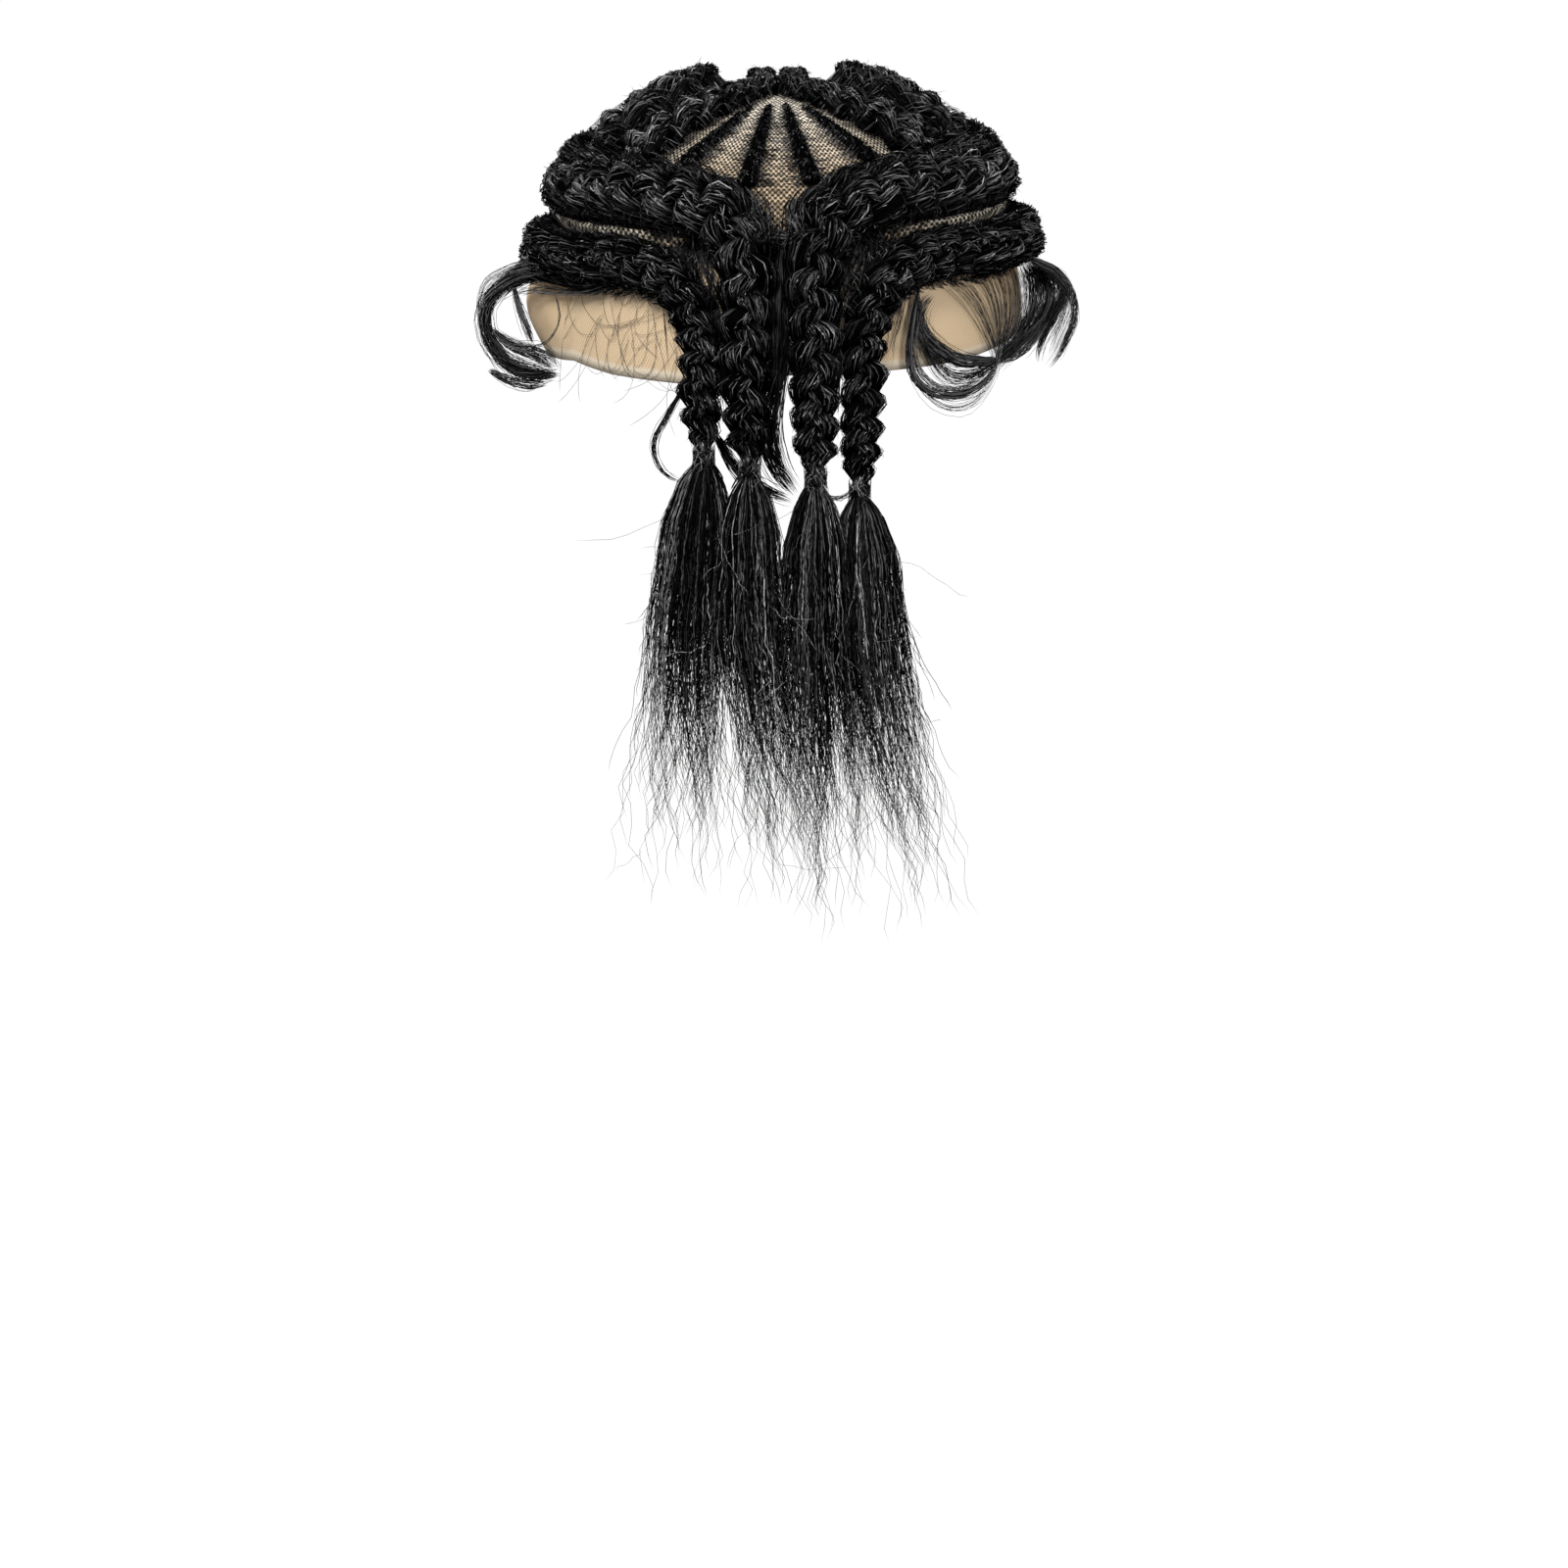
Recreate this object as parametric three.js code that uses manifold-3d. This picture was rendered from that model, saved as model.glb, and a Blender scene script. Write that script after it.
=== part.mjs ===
// Cornrow toupee: a domed lace cap that carries plaited cornrows.
// Two cornrows on each side run round the head and off the back of the cap as four hanging plaits,
// each closed by a wound thread tie and ending in a loose tail. Thin rows fan out below the crown,
// and short locks curl at the side edges of the lace.
// Millimetres, +Z up. The wearer faces +Y, so +X is the wearer's right.
// The origin is the point inside the crown that sits on the top of the head.

import * as THREE from 'three';
import { mergeVertices } from 'three/addons/utils/BufferGeometryUtils.js';
import Module from 'manifold-3d';

const wasm = await Module();
wasm.setup();

// Driving dimensions

// Inside of the cap, from its widest level up. `squareness` is 2 for a plain round profile.
const HEAD = { halfWidth: 75, halfDepth: 94, crown: 80, squareness: 2.4 };
const CAP_WALL = 1;
const CAP_TURNS = 30; // facets round the cap
const CAP_FALLS = 8; // facets from the crown to the rim
const GAP = 0.4; // between neighbouring pieces

const PLAIT = {
  seat: 0.75, // how much of its lower half stands clear of the cap
  lobe: 0.56, // length of one lobe, as a share of the width
  stationsPerLobe: 2, // one on its crest and one in the hollow after it
  strandSwing: 0.5, // how far a strand swings out from the middle, as a share of the half width
  strandRise: 0.45, // how far it rises and dips, as a share of the half thickness
  strandRadius: 0.5,
  tip: 0.45, // how far a row narrows at a closed end
  releaseLength: 25, // length over which a hanging plait turns from a seated to a full section
  neckLength: 7, // length over which it narrows to its tie
};
const NECK_RADIUS = 2;
const TIE = { turns: 3, pitch: 1.4, wire: 0.9, hollow: 0.5, facets: 10 };
const TIE_HEIGHT = TIE.turns * TIE.pitch;

// The rim of the cap as [turn, fall]: degrees round from the back, and degrees down from the crown.
const RIM = [[0, 89.6], [45, 89.4], [66, 88.5], [90, 87], [120, 85], [140, 77], [158, 72], [180, 72]];

const ROW_LEAN = -1.5; // degrees by which all the rows lie askew on the cap, lower on the left

// The cornrows of one side. `route` gives [turn, fall] on the cap, from the start of the row to its end.
// `widths` gives [share of the length, width over the lobes], and `thickness` the same in shares of the width.
const ROWS = [
  {
    name: 'centre_row',
    route: [
      [176, 63], [174, 40], [170, 20], [155, 6], [90, 2.2],
      [17, 8.5], [30, 18.5], [41, 30], [49.5, 45],
    ],
    widths: [[0, 6.5], [0.3, 8], [0.65, 9], [0.76, 13.5], [1, 21]],
    thickness: [[0, 0.56]],
    sides: 6,
  },
  {
    name: 'top_row',
    route: [[161, 62], [144, 32], [110, 18], [79, 20], [70, 30], [73, 46]],
    widths: [[0, 9], [0.4, 15], [0.6, 18.5], [1, 24]],
    thickness: [[0, 0.5]],
    sides: 8,
  },
  {
    name: 'inner_plait',
    route: [
      [148, 65], [136, 55], [115, 51], [95, 52], [70, 54.2],
      [46, 53.8], [26, 55.3], [13, 59.5], [8, 68],
    ],
    widths: [[0, 9], [0.2, 17], [0.35, 21], [0.66, 22], [0.77, 18.5], [0.88, 16], [1, 12.5]],
    thickness: [[0, 0.58], [0.62, 0.6], [0.76, 0.76]],
    sides: 8,
  },
  {
    name: 'outer_plait',
    route: [[128, 73], [112, 71], [90, 71.2], [56, 70.3], [34, 70], [23.6, 74], [18.4, 82]],
    widths: [[0, 8], [0.2, 13], [0.35, 16], [0.55, 16], [0.72, 15], [0.85, 14.5], [1, 12]],
    thickness: [[0, 0.8], [0.6, 0.78], [0.8, 0.76]],
    sides: 8,
  },
  {
    name: 'fan_row_inner',
    route: [[5, 17], [6.5, 33], [9.5, 50]],
    widths: [[0, 3], [1, 7]],
    thickness: [[0, 0.7]],
    sides: 6,
  },
  {
    name: 'fan_row_outer',
    route: [[15, 18.5], [22.5, 31], [30.5, 44.5]],
    widths: [[0, 3], [1, 7]],
    thickness: [[0, 0.7]],
    sides: 6,
  },
];

// Where the plaits hang clear of the cap: the line of their inner face, down to the tie, as [x, y, z].
const HANGS = {
  inner_plait: {
    left: [[-11, -96, -72], [-10.5, -97, -90], [-10, -96.5, -107]],
    right: [[8.8, -96, -72], [8.8, -97, -90], [9.2, -96.5, -110]],
  },
  outer_plait: {
    left: [[-24, -93.5, -84], [-23.5, -94, -94], [-23.3, -93.5, -103]],
    right: [[22.6, -93.5, -84], [22.2, -94, -98], [22, -93.5, -114]],
  },
};

// The loose hair below each tie: its length, how far its locks spread to each side,
// and how far it sways in x at its middle and at its tip.
const TAILS = {
  inner_plait: {
    left: { length: 132, spread: 4.6, middleSway: 0, tipSway: 12 },
    right: { length: 138, spread: 5, middleSway: -0.5, tipSway: 8 },
  },
  outer_plait: {
    left: { length: 134, spread: 6.6, middleSway: -5, tipSway: -9 },
    right: { length: 130, spread: 5.5, middleSway: 4, tipSway: 20 },
  },
};
// The locks of a tail: `across` and `back` are shares of the spread, `reach` a share of the length.
const TAIL_LOCKS = [
  { across: -0.85, back: 0.1, reach: 0.86 },
  { across: -0.35, back: 0.5, reach: 1 },
  { across: 0.15, back: -0.35, reach: 0.92 },
  { across: 0.5, back: 0.4, reach: 0.97 },
  { across: 0.9, back: 0, reach: 0.83 },
];
const TAIL_SIDES = 5;
const TAIL_BACK = 0.5; // depth of a tail as a share of its width
const TAIL_LEAN = 7; // how far the tips lean in towards the neck
// How a tail lock opens and closes along its length.
const TAIL_PROFILE = [
  { share: 0, open: 0, radius: 1.6 },
  { share: 0.14, open: 0.62, radius: 4.4 },
  { share: 0.4, open: 1, radius: 4.6 },
  { share: 0.75, open: 1.08, radius: 2.8 },
  { share: 1, open: 1.2, radius: 0.5 },
];

// The locks at the side edges: points [x, y, z] along each lock and its greatest radius.
const EDGE_LOCKS = {
  edge_lock_left: {
    radius: 3.2,
    points: [
      [-72, -41.5, -62], [-82, -26.5, -59], [-91, -17, -61.5], [-96, -12.5, -70],
      [-93.5, -12.5, -80], [-87, -15.5, -87], [-79, -22, -89.5], [-73, -33, -86.5],
    ],
  },
  edge_lock_right: {
    radius: 2,
    points: [
      [43, -81.5, -60.5], [39.8, -85, -66], [38.5, -86, -72], [39.6, -85.4, -79.5],
      [44, -82, -85], [52.3, -74.2, -88], [60.1, -64.4, -86.6], [66, -55.5, -81.5],
    ],
  },
  edge_wisp_right: {
    radius: 3,
    points: [
      [77.5, -32, -61], [84.5, -24.5, -59.5], [89.7, -18, -64],
      [90, -16, -71], [87.5, -18, -79], [82.5, -22.5, -87.5],
    ],
  },
};

const EDGE_LOCK_STEPS = 12; // straight pieces along an edge lock
const EDGE_LOCK_SIDES = 6;
const EDGE_LOCK_ENDS = 0.3; // radius at its ends, as a share of the greatest

const SIDES = { left: -1, right: 1 };
const LINE_PARTS = 400; // in which the length of a row's line is measured

const LACE = new THREE.MeshStandardMaterial({ name: 'lace', color: 0xcbb08c, roughness: 0.85 });
const HAIR = new THREE.MeshStandardMaterial({ name: 'hair', color: 0x0d0d0e, roughness: 0.45 });
const THREAD = new THREE.MeshStandardMaterial({ name: 'thread', color: 0x08080a, roughness: 0.6 });

// The head form

// Half axes of the cap's inner form, grown by `offset`.
const halfAxes = (offset) =>
  new THREE.Vector3(HEAD.halfWidth + offset, HEAD.halfDepth + offset, HEAD.crown + offset);

// A point `turn` degrees round from the back (to the wearer's right) and `fall` degrees down from the crown.
function onHead(turn, fall, offset) {
  const round = THREE.MathUtils.degToRad(turn);
  const down = THREE.MathUtils.degToRad(fall);
  const axes = halfAxes(offset);
  const reach = Math.sin(down) ** (2 / HEAD.squareness);
  const height = Math.max(Math.cos(down), 0) ** (2 / HEAD.squareness);
  return new THREE.Vector3(
    axes.x * reach * Math.sin(round),
    -axes.y * reach * Math.cos(round),
    axes.z * height - HEAD.crown,
  );
}

// A point of a row: a place on the cap's outer face, turned askew as all the rows are.
function onRow(turn, fall) {
  const middle = new THREE.Vector3(0, 0, -HEAD.crown);
  const ahead = new THREE.Vector3(0, 1, 0);
  return onHead(turn, fall, CAP_WALL).sub(middle)
    .applyAxisAngle(ahead, THREE.MathUtils.degToRad(ROW_LEAN))
    .add(middle);
}

// A point in shares of the cap's outer half axes: [distance from the upright axis, height].
function capShares(point) {
  const axes = halfAxes(CAP_WALL);
  return [Math.hypot(point.x / axes.x, point.y / axes.y), Math.max(point.z + HEAD.crown, 0) / axes.z];
}

// The direction away from the head at a point, level below the widest line.
function outward(point) {
  const axes = halfAxes(CAP_WALL);
  const [reach, height] = capShares(point);
  const level = reach ** (HEAD.squareness - 2);
  return new THREE.Vector3(
    (level * point.x) / axes.x ** 2,
    (level * point.y) / axes.y ** 2,
    height ** (HEAD.squareness - 1) / axes.z,
  ).normalize();
}

// A point moved to the cap's outer face: always if `seated`, otherwise only if it lies inside.
function ontoCap(point, seated) {
  const middle = new THREE.Vector3(0, 0, -HEAD.crown);
  const [reach, height] = capShares(point);
  const depth = (reach ** HEAD.squareness + height ** HEAD.squareness) ** (1 / HEAD.squareness);
  return seated || depth < 1 ? point.clone().sub(middle).divideScalar(depth).add(middle) : point.clone();
}

// Reads a table of [x, y] rows at x, on straight lines between them.
function readTable(rows, x) {
  const next = rows.findIndex(([at]) => at >= x);
  if (next === 0) return rows[0][1];
  if (next < 0) return rows.at(-1)[1];
  const [x0, y0] = rows[next - 1];
  const [x1, y1] = rows[next];
  return y0 + ((y1 - y0) * (x - x0)) / (x1 - x0);
}

// Solids

// A closed solid through rings of points, each ring with the same number of points.
function loft(rings) {
  const count = rings[0].length;
  const points = rings.flat();
  const faces = [];
  for (let r = 0; r + 1 < rings.length; r++) {
    for (let i = 0; i < count; i++) {
      const a = r * count + i;
      const b = r * count + ((i + 1) % count);
      faces.push(a, b, b + count, a, b + count, a + count);
    }
  }
  const middleOf = (ring) =>
    ring.reduce((sum, p) => sum.add(p), new THREE.Vector3()).divideScalar(count);
  const first = points.push(middleOf(rings[0])) - 1;
  const last = points.push(middleOf(rings.at(-1))) - 1;
  const lastRing = (rings.length - 1) * count;
  for (let i = 0; i < count; i++) {
    const j = (i + 1) % count;
    faces.push(first, j, i, last, lastRing + i, lastRing + j);
  }
  return new THREE.BufferGeometry().setFromPoints(points).setIndex(faces);
}

function toSolid(geometry) {
  const bare = new THREE.BufferGeometry()
    .setAttribute('position', geometry.getAttribute('position'))
    .setIndex(geometry.index);
  const merged = mergeVertices(bare);
  return new wasm.Manifold(new wasm.Mesh({
    numProp: 3,
    vertProperties: merged.getAttribute('position').array,
    triVerts: new Uint32Array(merged.index.array),
  }));
}

// One solid from several that overlap.
function fuse(geometries) {
  const mesh = geometries.map(toSolid).reduce((whole, piece) => whole.add(piece)).getMesh();
  return new THREE.BufferGeometry()
    .setAttribute('position', new THREE.BufferAttribute(mesh.vertProperties, 3))
    .setIndex(new THREE.BufferAttribute(mesh.triVerts, 1));
}

// The lace cap: a hollow half ball turned from its profile, then drawn to the form of the head.
function laceCap() {
  const insideRadius = 1;
  const outsideRadius = 2;
  const profile = (radius) => Array.from({ length: CAP_FALLS + 1 }, (_, i) => {
    const down = ((Math.PI / 2) * i) / CAP_FALLS;
    return new THREE.Vector2(radius * Math.sin(down), -radius * Math.cos(down));
  });
  const outline = [...profile(outsideRadius), ...profile(insideRadius).reverse()];
  const dome = new THREE.LatheGeometry(outline, CAP_TURNS);
  const places = dome.getAttribute('position');
  const place = new THREE.Vector3();
  for (let i = 0; i < places.count; i++) {
    place.fromBufferAttribute(places, i);
    const wall = place.length() > (insideRadius + outsideRadius) / 2 ? CAP_WALL : 0;
    const turn = THREE.MathUtils.radToDeg(Math.atan2(place.x, -place.z));
    const share = Math.acos(THREE.MathUtils.clamp(-place.y / place.length(), -1, 1)) / (Math.PI / 2);
    const moved = onHead(turn, share * readTable(RIM, Math.abs(turn)), wall);
    places.setXYZ(i, moved.x, moved.y, moved.z);
  }
  return dome;
}

// Plaits

// How far a three-strand plait reaches from its middle at an angle, in shares of its half sizes.
function plaitReach(angle, phase) {
  const ray = new THREE.Vector2(Math.cos(angle), Math.sin(angle));
  let reach = 0;
  for (let strand = 0; strand < 3; strand++) {
    const t = phase + (strand * 2 * Math.PI) / 3;
    const middle = new THREE.Vector2(
      PLAIT.strandSwing * Math.cos(t),
      -PLAIT.strandRise * Math.sin(2 * t),
    );
    const beside = middle.cross(ray);
    const spare = PLAIT.strandRadius ** 2 - beside ** 2;
    if (spare > 0) reach = Math.max(reach, middle.dot(ray) + Math.sqrt(spare));
  }
  return reach;
}

// Where the stations of a row stand, as shares of its length, closer together where it is narrow.
function stationShares(widths, length) {
  const places = [0];
  while (places.at(-1) < length) {
    const width = readTable(widths, places.at(-1) / length);
    places.push(places.at(-1) + (PLAIT.lobe * width) / PLAIT.stationsPerLobe);
  }
  return places.map((place) => place / places.at(-1));
}

// The stations of a row, from its start to its end: place, directions and size at each.
function plaitStations(row, side) {
  const seats = row.route.map(([turn, fall]) => onRow(SIDES[side] * turn, fall));
  const hang = (HANGS[row.name]?.[side] ?? []).map((p) => new THREE.Vector3(...p));
  const line = new THREE.CatmullRomCurve3([...seats, ...hang], false, 'centripetal');
  line.arcLengthDivisions = LINE_PARTS;
  const length = line.getLength();
  const lastSeat = (seats.length - 1) / (seats.length + hang.length - 1);
  const shares = stationShares(row.widths, length);
  const isSeated = (share) => line.getUtoTmapping(share) <= lastSeat;
  const leavesCapAt = length * (shares.find((share) => !isSeated(share)) ?? 1);
  const neckAt = length - TIE_HEIGHT / 2 - GAP;

  return shares.map((share, i) => {
    const at = share * length;
    const halfWidth = readTable(row.widths, share) / 2;
    const halfThick = halfWidth * readTable(row.thickness, share);
    const release = THREE.MathUtils.smoothstep(at - leavesCapAt, 0, PLAIT.releaseLength);
    const base = ontoCap(line.getPointAt(share), isSeated(share));
    const along = line.getTangentAt(share);
    const up = outward(base);
    up.addScaledVector(along, -up.dot(along)).normalize();
    return {
      middle: base.clone().addScaledVector(up, GAP + PLAIT.seat * halfThick),
      across: new THREE.Vector3().crossVectors(up, along),
      up,
      halfWidth,
      halfThick,
      floor: -(PLAIT.seat + (1 - PLAIT.seat) * release) * halfThick,
      phase: (i * 2 * Math.PI) / 3 / PLAIT.stationsPerLobe,
      neck: hang.length ? THREE.MathUtils.smoothstep(at, neckAt - PLAIT.neckLength, neckAt) : 0,
    };
  });
}

// The outline of a plait at one station, flattened where it lies on the cap.
function plaitRing(station, sides, scale) {
  const ring = [];
  for (let i = 0; i < sides; i++) {
    const angle = (2 * Math.PI * i) / sides;
    const reach = plaitReach(angle, station.phase) * scale;
    const out = THREE.MathUtils.lerp(station.halfWidth * reach, NECK_RADIUS, station.neck);
    const rise = THREE.MathUtils.lerp(station.halfThick * reach, NECK_RADIUS, station.neck);
    ring.push(
      station.middle.clone()
        .addScaledVector(station.across, out * Math.cos(angle))
        .addScaledVector(station.up, Math.max(rise * Math.sin(angle), station.floor)),
    );
  }
  return ring;
}

function plait(row, side) {
  const stations = plaitStations(row, side);
  const hangs = row.name in HANGS;
  const rings = stations.map((station, i) => {
    const closed = i === 0 || (i === stations.length - 1 && !hangs);
    return plaitRing(station, row.sides, closed ? PLAIT.tip : 1);
  });
  return { solid: loft(rings), end: stations.at(-1).middle };
}

// Ties and tails

// A thread wound round the neck of a plait, as one turned ring with a bulge for each turn.
function tie() {
  const bore = NECK_RADIUS + GAP;
  const top = TIE_HEIGHT / 2;
  const outline = [new THREE.Vector2(bore, -top)];
  for (let turn = 0; turn < TIE.turns; turn++) {
    const low = turn * TIE.pitch - top;
    outline.push(new THREE.Vector2(bore + TIE.wire * TIE.hollow, low));
    outline.push(new THREE.Vector2(bore + TIE.wire, low + TIE.pitch / 2));
  }
  outline.push(new THREE.Vector2(bore + TIE.wire * TIE.hollow, top));
  outline.push(new THREE.Vector2(bore, top), outline[0].clone());
  return new THREE.LatheGeometry(outline, TIE.facets).rotateX(Math.PI / 2);
}

// A round tapering lock along a line of points, with a radius at each.
function lock(points, radii, sides) {
  const line = new THREE.CatmullRomCurve3(points, false, 'centripetal');
  const last = points.length - 1;
  const frames = line.computeFrenetFrames(last, false);
  const rings = points.map((point, i) => {
    const ring = [];
    for (let s = 0; s < sides; s++) {
      const angle = (2 * Math.PI * s) / sides;
      ring.push(
        point.clone()
          .addScaledVector(frames.normals[i], radii[i] * Math.cos(angle))
          .addScaledVector(frames.binormals[i], radii[i] * Math.sin(angle)),
      );
    }
    return ring;
  });
  return loft(rings);
}

// The loose hair below a tie: locks that part from one neck.
function tail({ length, spread, middleSway, tipSway }, top) {
  const sway = [[0, 0], [0.4, middleSway], [1, tipSway]];
  const locks = TAIL_LOCKS.map(({ across, back, reach }) => {
    const points = TAIL_PROFILE.map(({ share, open }) => new THREE.Vector3(
      across * spread * open + readTable(sway, share),
      -back * spread * TAIL_BACK * open + TAIL_LEAN * share ** 2,
      -2 * GAP - length * reach * share,
    ).add(top));
    return lock(points, TAIL_PROFILE.map(({ radius }) => radius), TAIL_SIDES);
  });
  return fuse(locks);
}

// A curled lock at the edge of the lace, thickest at its middle.
function edgeLock({ points, radius }) {
  const line = new THREE.CatmullRomCurve3(points.map((p) => new THREE.Vector3(...p)), false, 'centripetal');
  const places = line.getSpacedPoints(EDGE_LOCK_STEPS);
  const radii = places.map((_, i) => {
    const swell = Math.sin((Math.PI * (i + 1)) / (EDGE_LOCK_STEPS + 2));
    return radius * THREE.MathUtils.lerp(EDGE_LOCK_ENDS, 1, swell);
  });
  return lock(places, radii, EDGE_LOCK_SIDES);
}

// The assembly

const toupee = new THREE.Group();
toupee.name = 'cornrow_toupee';

function addPiece(name, geometry, material, place) {
  const piece = new THREE.Mesh(geometry, material);
  piece.name = name;
  if (place) piece.position.copy(place);
  toupee.add(piece);
}

addPiece('lace_cap', laceCap(), LACE);

for (const side of Object.keys(SIDES)) {
  for (const row of ROWS) {
    const { solid, end } = plait(row, side);
    addPiece(`${row.name}_${side}`, solid, HAIR);
    if (row.name in HANGS) {
      const place = row.name.replace('_plait', '');
      addPiece(`${place}_tie_${side}`, tie(), THREAD, end);
      addPiece(`${place}_tail_${side}`, tail(TAILS[row.name][side], end), HAIR);
    }
  }
}

for (const [name, shape] of Object.entries(EDGE_LOCKS)) {
  addPiece(name, edgeLock(shape), HAIR);
}

export default toupee;
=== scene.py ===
"""Cornrow toupee: the finished look of every piece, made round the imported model."""

import math

import bmesh
import bpy
import numpy as np
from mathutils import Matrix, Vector


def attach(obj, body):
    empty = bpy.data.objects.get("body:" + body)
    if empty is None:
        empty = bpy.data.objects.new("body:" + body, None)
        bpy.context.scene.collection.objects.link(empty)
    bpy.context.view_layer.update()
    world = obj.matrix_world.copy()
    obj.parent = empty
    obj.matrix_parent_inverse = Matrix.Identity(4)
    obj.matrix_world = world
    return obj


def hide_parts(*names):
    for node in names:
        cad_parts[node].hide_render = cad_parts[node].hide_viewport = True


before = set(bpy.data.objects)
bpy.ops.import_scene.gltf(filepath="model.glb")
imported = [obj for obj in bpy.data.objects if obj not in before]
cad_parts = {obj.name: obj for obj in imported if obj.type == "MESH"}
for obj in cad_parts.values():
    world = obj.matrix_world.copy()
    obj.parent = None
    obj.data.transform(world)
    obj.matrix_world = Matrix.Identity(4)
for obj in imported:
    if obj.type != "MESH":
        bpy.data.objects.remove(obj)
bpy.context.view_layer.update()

# Lace cap
# A domed base of beige net that is worn like a hat without a brim. It is knitted close at the crown,
# grows sheer towards its lower edge, and ends there in a pale band that stops it fraying.

MM = 0.001  # sizes and places are in millimetres and become metres in each mesh
HALF_WIDTH, HALF_DEPTH, CROWN = 75, 94, 80  # inside of the cap, from its widest level up
SQUARENESS = 2.4  # of the upright profile, where 2 is plain round
CAP_WALL = 1
LACE_THICKNESS = 0.5
CAP_STEPS_ROUND, CAP_STEPS_DOWN = 120, 80
RIM_TURNS = [0, 45, 66, 90, 120, 140, 158, 180]  # degrees round from the back
RIM_FALLS = [89.6, 89.4, 88.5, 87, 85, 77, 72, 72]  # degrees down from the crown
KNIT_WALES, KNIT_COURSES = 220, 56  # stitches round the cap, and rows of them from the rim to the crown
KNIT_HALVED, KNIT_QUARTERED = 0.72, 0.86  # shares of the height above which only so many stitches go on
KNIT_EDGE = (0.18, 0.24)  # shares of the height between which the net turns to knit
BAND_EDGE = (0.01, 0.02)  # and between which the pale band turns to net
# Painted light and shade on the knit: pale high up and at the sides, brown lower down near the back,
# where shade falls and some hair lies on it
KNIT_LIT_HEIGHTS = (0.40, 0.86)  # shares of the height between which the knit turns light
KNIT_LIT_TURNS = (0.06, 0.13)  # shares of a turn from the back between which it turns light at the sides
KNIT_LIT_SIDES = 0.85  # how light it is there
KNIT_BLOTCHES, KNIT_DASHES = (46, 22), (90, 100)  # round the cap and up it
KNIT_DEPTH = 0.4
NET_WALES, NET_COURSES = 420, 110
LACE_ROUGHNESS, LACE_GLOSS = 0.8, 0.2
LACE_TAN = (0.95, 0.73, 0.47, 1)
LACE_PALE = (0.92, 0.79, 0.61, 1)
LACE_BROWN = (0.70, 0.50, 0.30, 1)
KNIT_LIT_PALE = (1, 0.92, 0.78, 1)
KNIT_SHADED_BROWN = (0.5, 0.38, 0.25, 1)
KNIT_SHADE = (0.02, 0.015, 0.01, 1)
SLACK = 7  # how far the lace stands off on the left, below the lowest row
SLACK_TURN, SLACK_SPAN = -92, 30  # degrees round from the back of its middle, and to either side
SLACK_HEIGHT = 0.14  # share of the cap's height
HEM_TURNS = [-130, -100, -80, -60, -15, 0]  # degrees round from the back
HEM_DROPS = [0, 8, 9, 4, 4, 0]  # how much lower the slack edge hangs there
PARTING_FALL, PARTING_LEAN, PARTING_SPREAD = 63, 1.6, 1.6  # degrees, of the line between the lowest rows
PARTING_RISE = 5  # how far the hair of the two rows pulls the lace up along it
PARTING_TURNS = [25, 40, 75, 95]  # degrees to either side where that starts, is whole, is whole and ends
AT_CROWN = 1e-4  # distance from the upright axis within which a point is the crown itself
BAKE_MAP = "OFBake"  # name of the one map of each piece


def on_dome(turn, fall, lift):
    """Places `turn` degrees round from the back, `fall` degrees below the crown, `lift` off the inside."""
    turn, down = np.radians(turn), np.radians(fall)
    reach = np.sin(down) ** (2 / SQUARENESS)
    height = np.maximum(np.cos(down), 0) ** (2 / SQUARENESS)
    across = (HALF_WIDTH + lift) * reach * np.sin(turn)
    ahead = -(HALF_DEPTH + lift) * reach * np.cos(turn)
    return np.stack([across, ahead, (CROWN + lift) * height - CROWN], -1)


class Shade:
    """One socket of a material's nodes, so that shader maths reads as plain arithmetic."""

    def __init__(self, tree, socket=None):
        self.tree = tree
        self.socket = socket

    def node(self, kind, settings, inputs, output=0):
        made = self.tree.nodes.new(kind)
        for name, value in settings.items():
            setattr(made, name, value)
        for name, value in inputs.items():
            if isinstance(value, Shade):
                self.tree.links.new(value.socket, made.inputs[name])
            else:
                made.inputs[name].default_value = value
        return Shade(self.tree, made.outputs[output])

    def maths(self, operation, *values):
        return self.node("ShaderNodeMath", {"operation": operation}, dict(enumerate(values)))

    def mix(self, low, high):
        """The colour `low` where this is 0 and `high` where it is 1."""
        return self.node("ShaderNodeMix", {"data_type": "RGBA"}, {0: self, 6: low, 7: high}, 2)

    def rise(self, low, high):
        """0 below `low`, 1 above `high`, and a smooth step between."""
        steps = {"interpolation_type": "SMOOTHSTEP"}
        return self.node("ShaderNodeMapRange", steps, {"Value": self, "From Min": low, "From Max": high})

    def noise(self, across, along, detail=2):
        """Even noise from 0 to 1, `across` by `along` cells over this map."""
        cells = {0: self, 1: (across, along, 1)}
        places = self.node("ShaderNodeVectorMath", {"operation": "MULTIPLY"}, cells)
        return self.node("ShaderNodeTexNoise", {}, {"Vector": places, "Scale": 1, "Detail": detail})

    def largest(self, other):
        return self.maths("MAXIMUM", self, other)

    def smallest(self, other):
        return self.maths("MINIMUM", self, other)

    def wave(self):
        """0 to 1 and back over each whole number."""
        return self.maths("PINGPONG", self * 2, 1)

    def __add__(self, other):
        return self.maths("ADD", self, other)

    def __sub__(self, other):
        return self.maths("SUBTRACT", self, other)

    def __rsub__(self, other):
        return self.maths("SUBTRACT", other, self)

    def __mul__(self, other):
        return self.maths("MULTIPLY", self, other)

    def __pow__(self, other):
        return self.maths("POWER", self, other)

    __radd__ = __add__
    __rmul__ = __mul__


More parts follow.
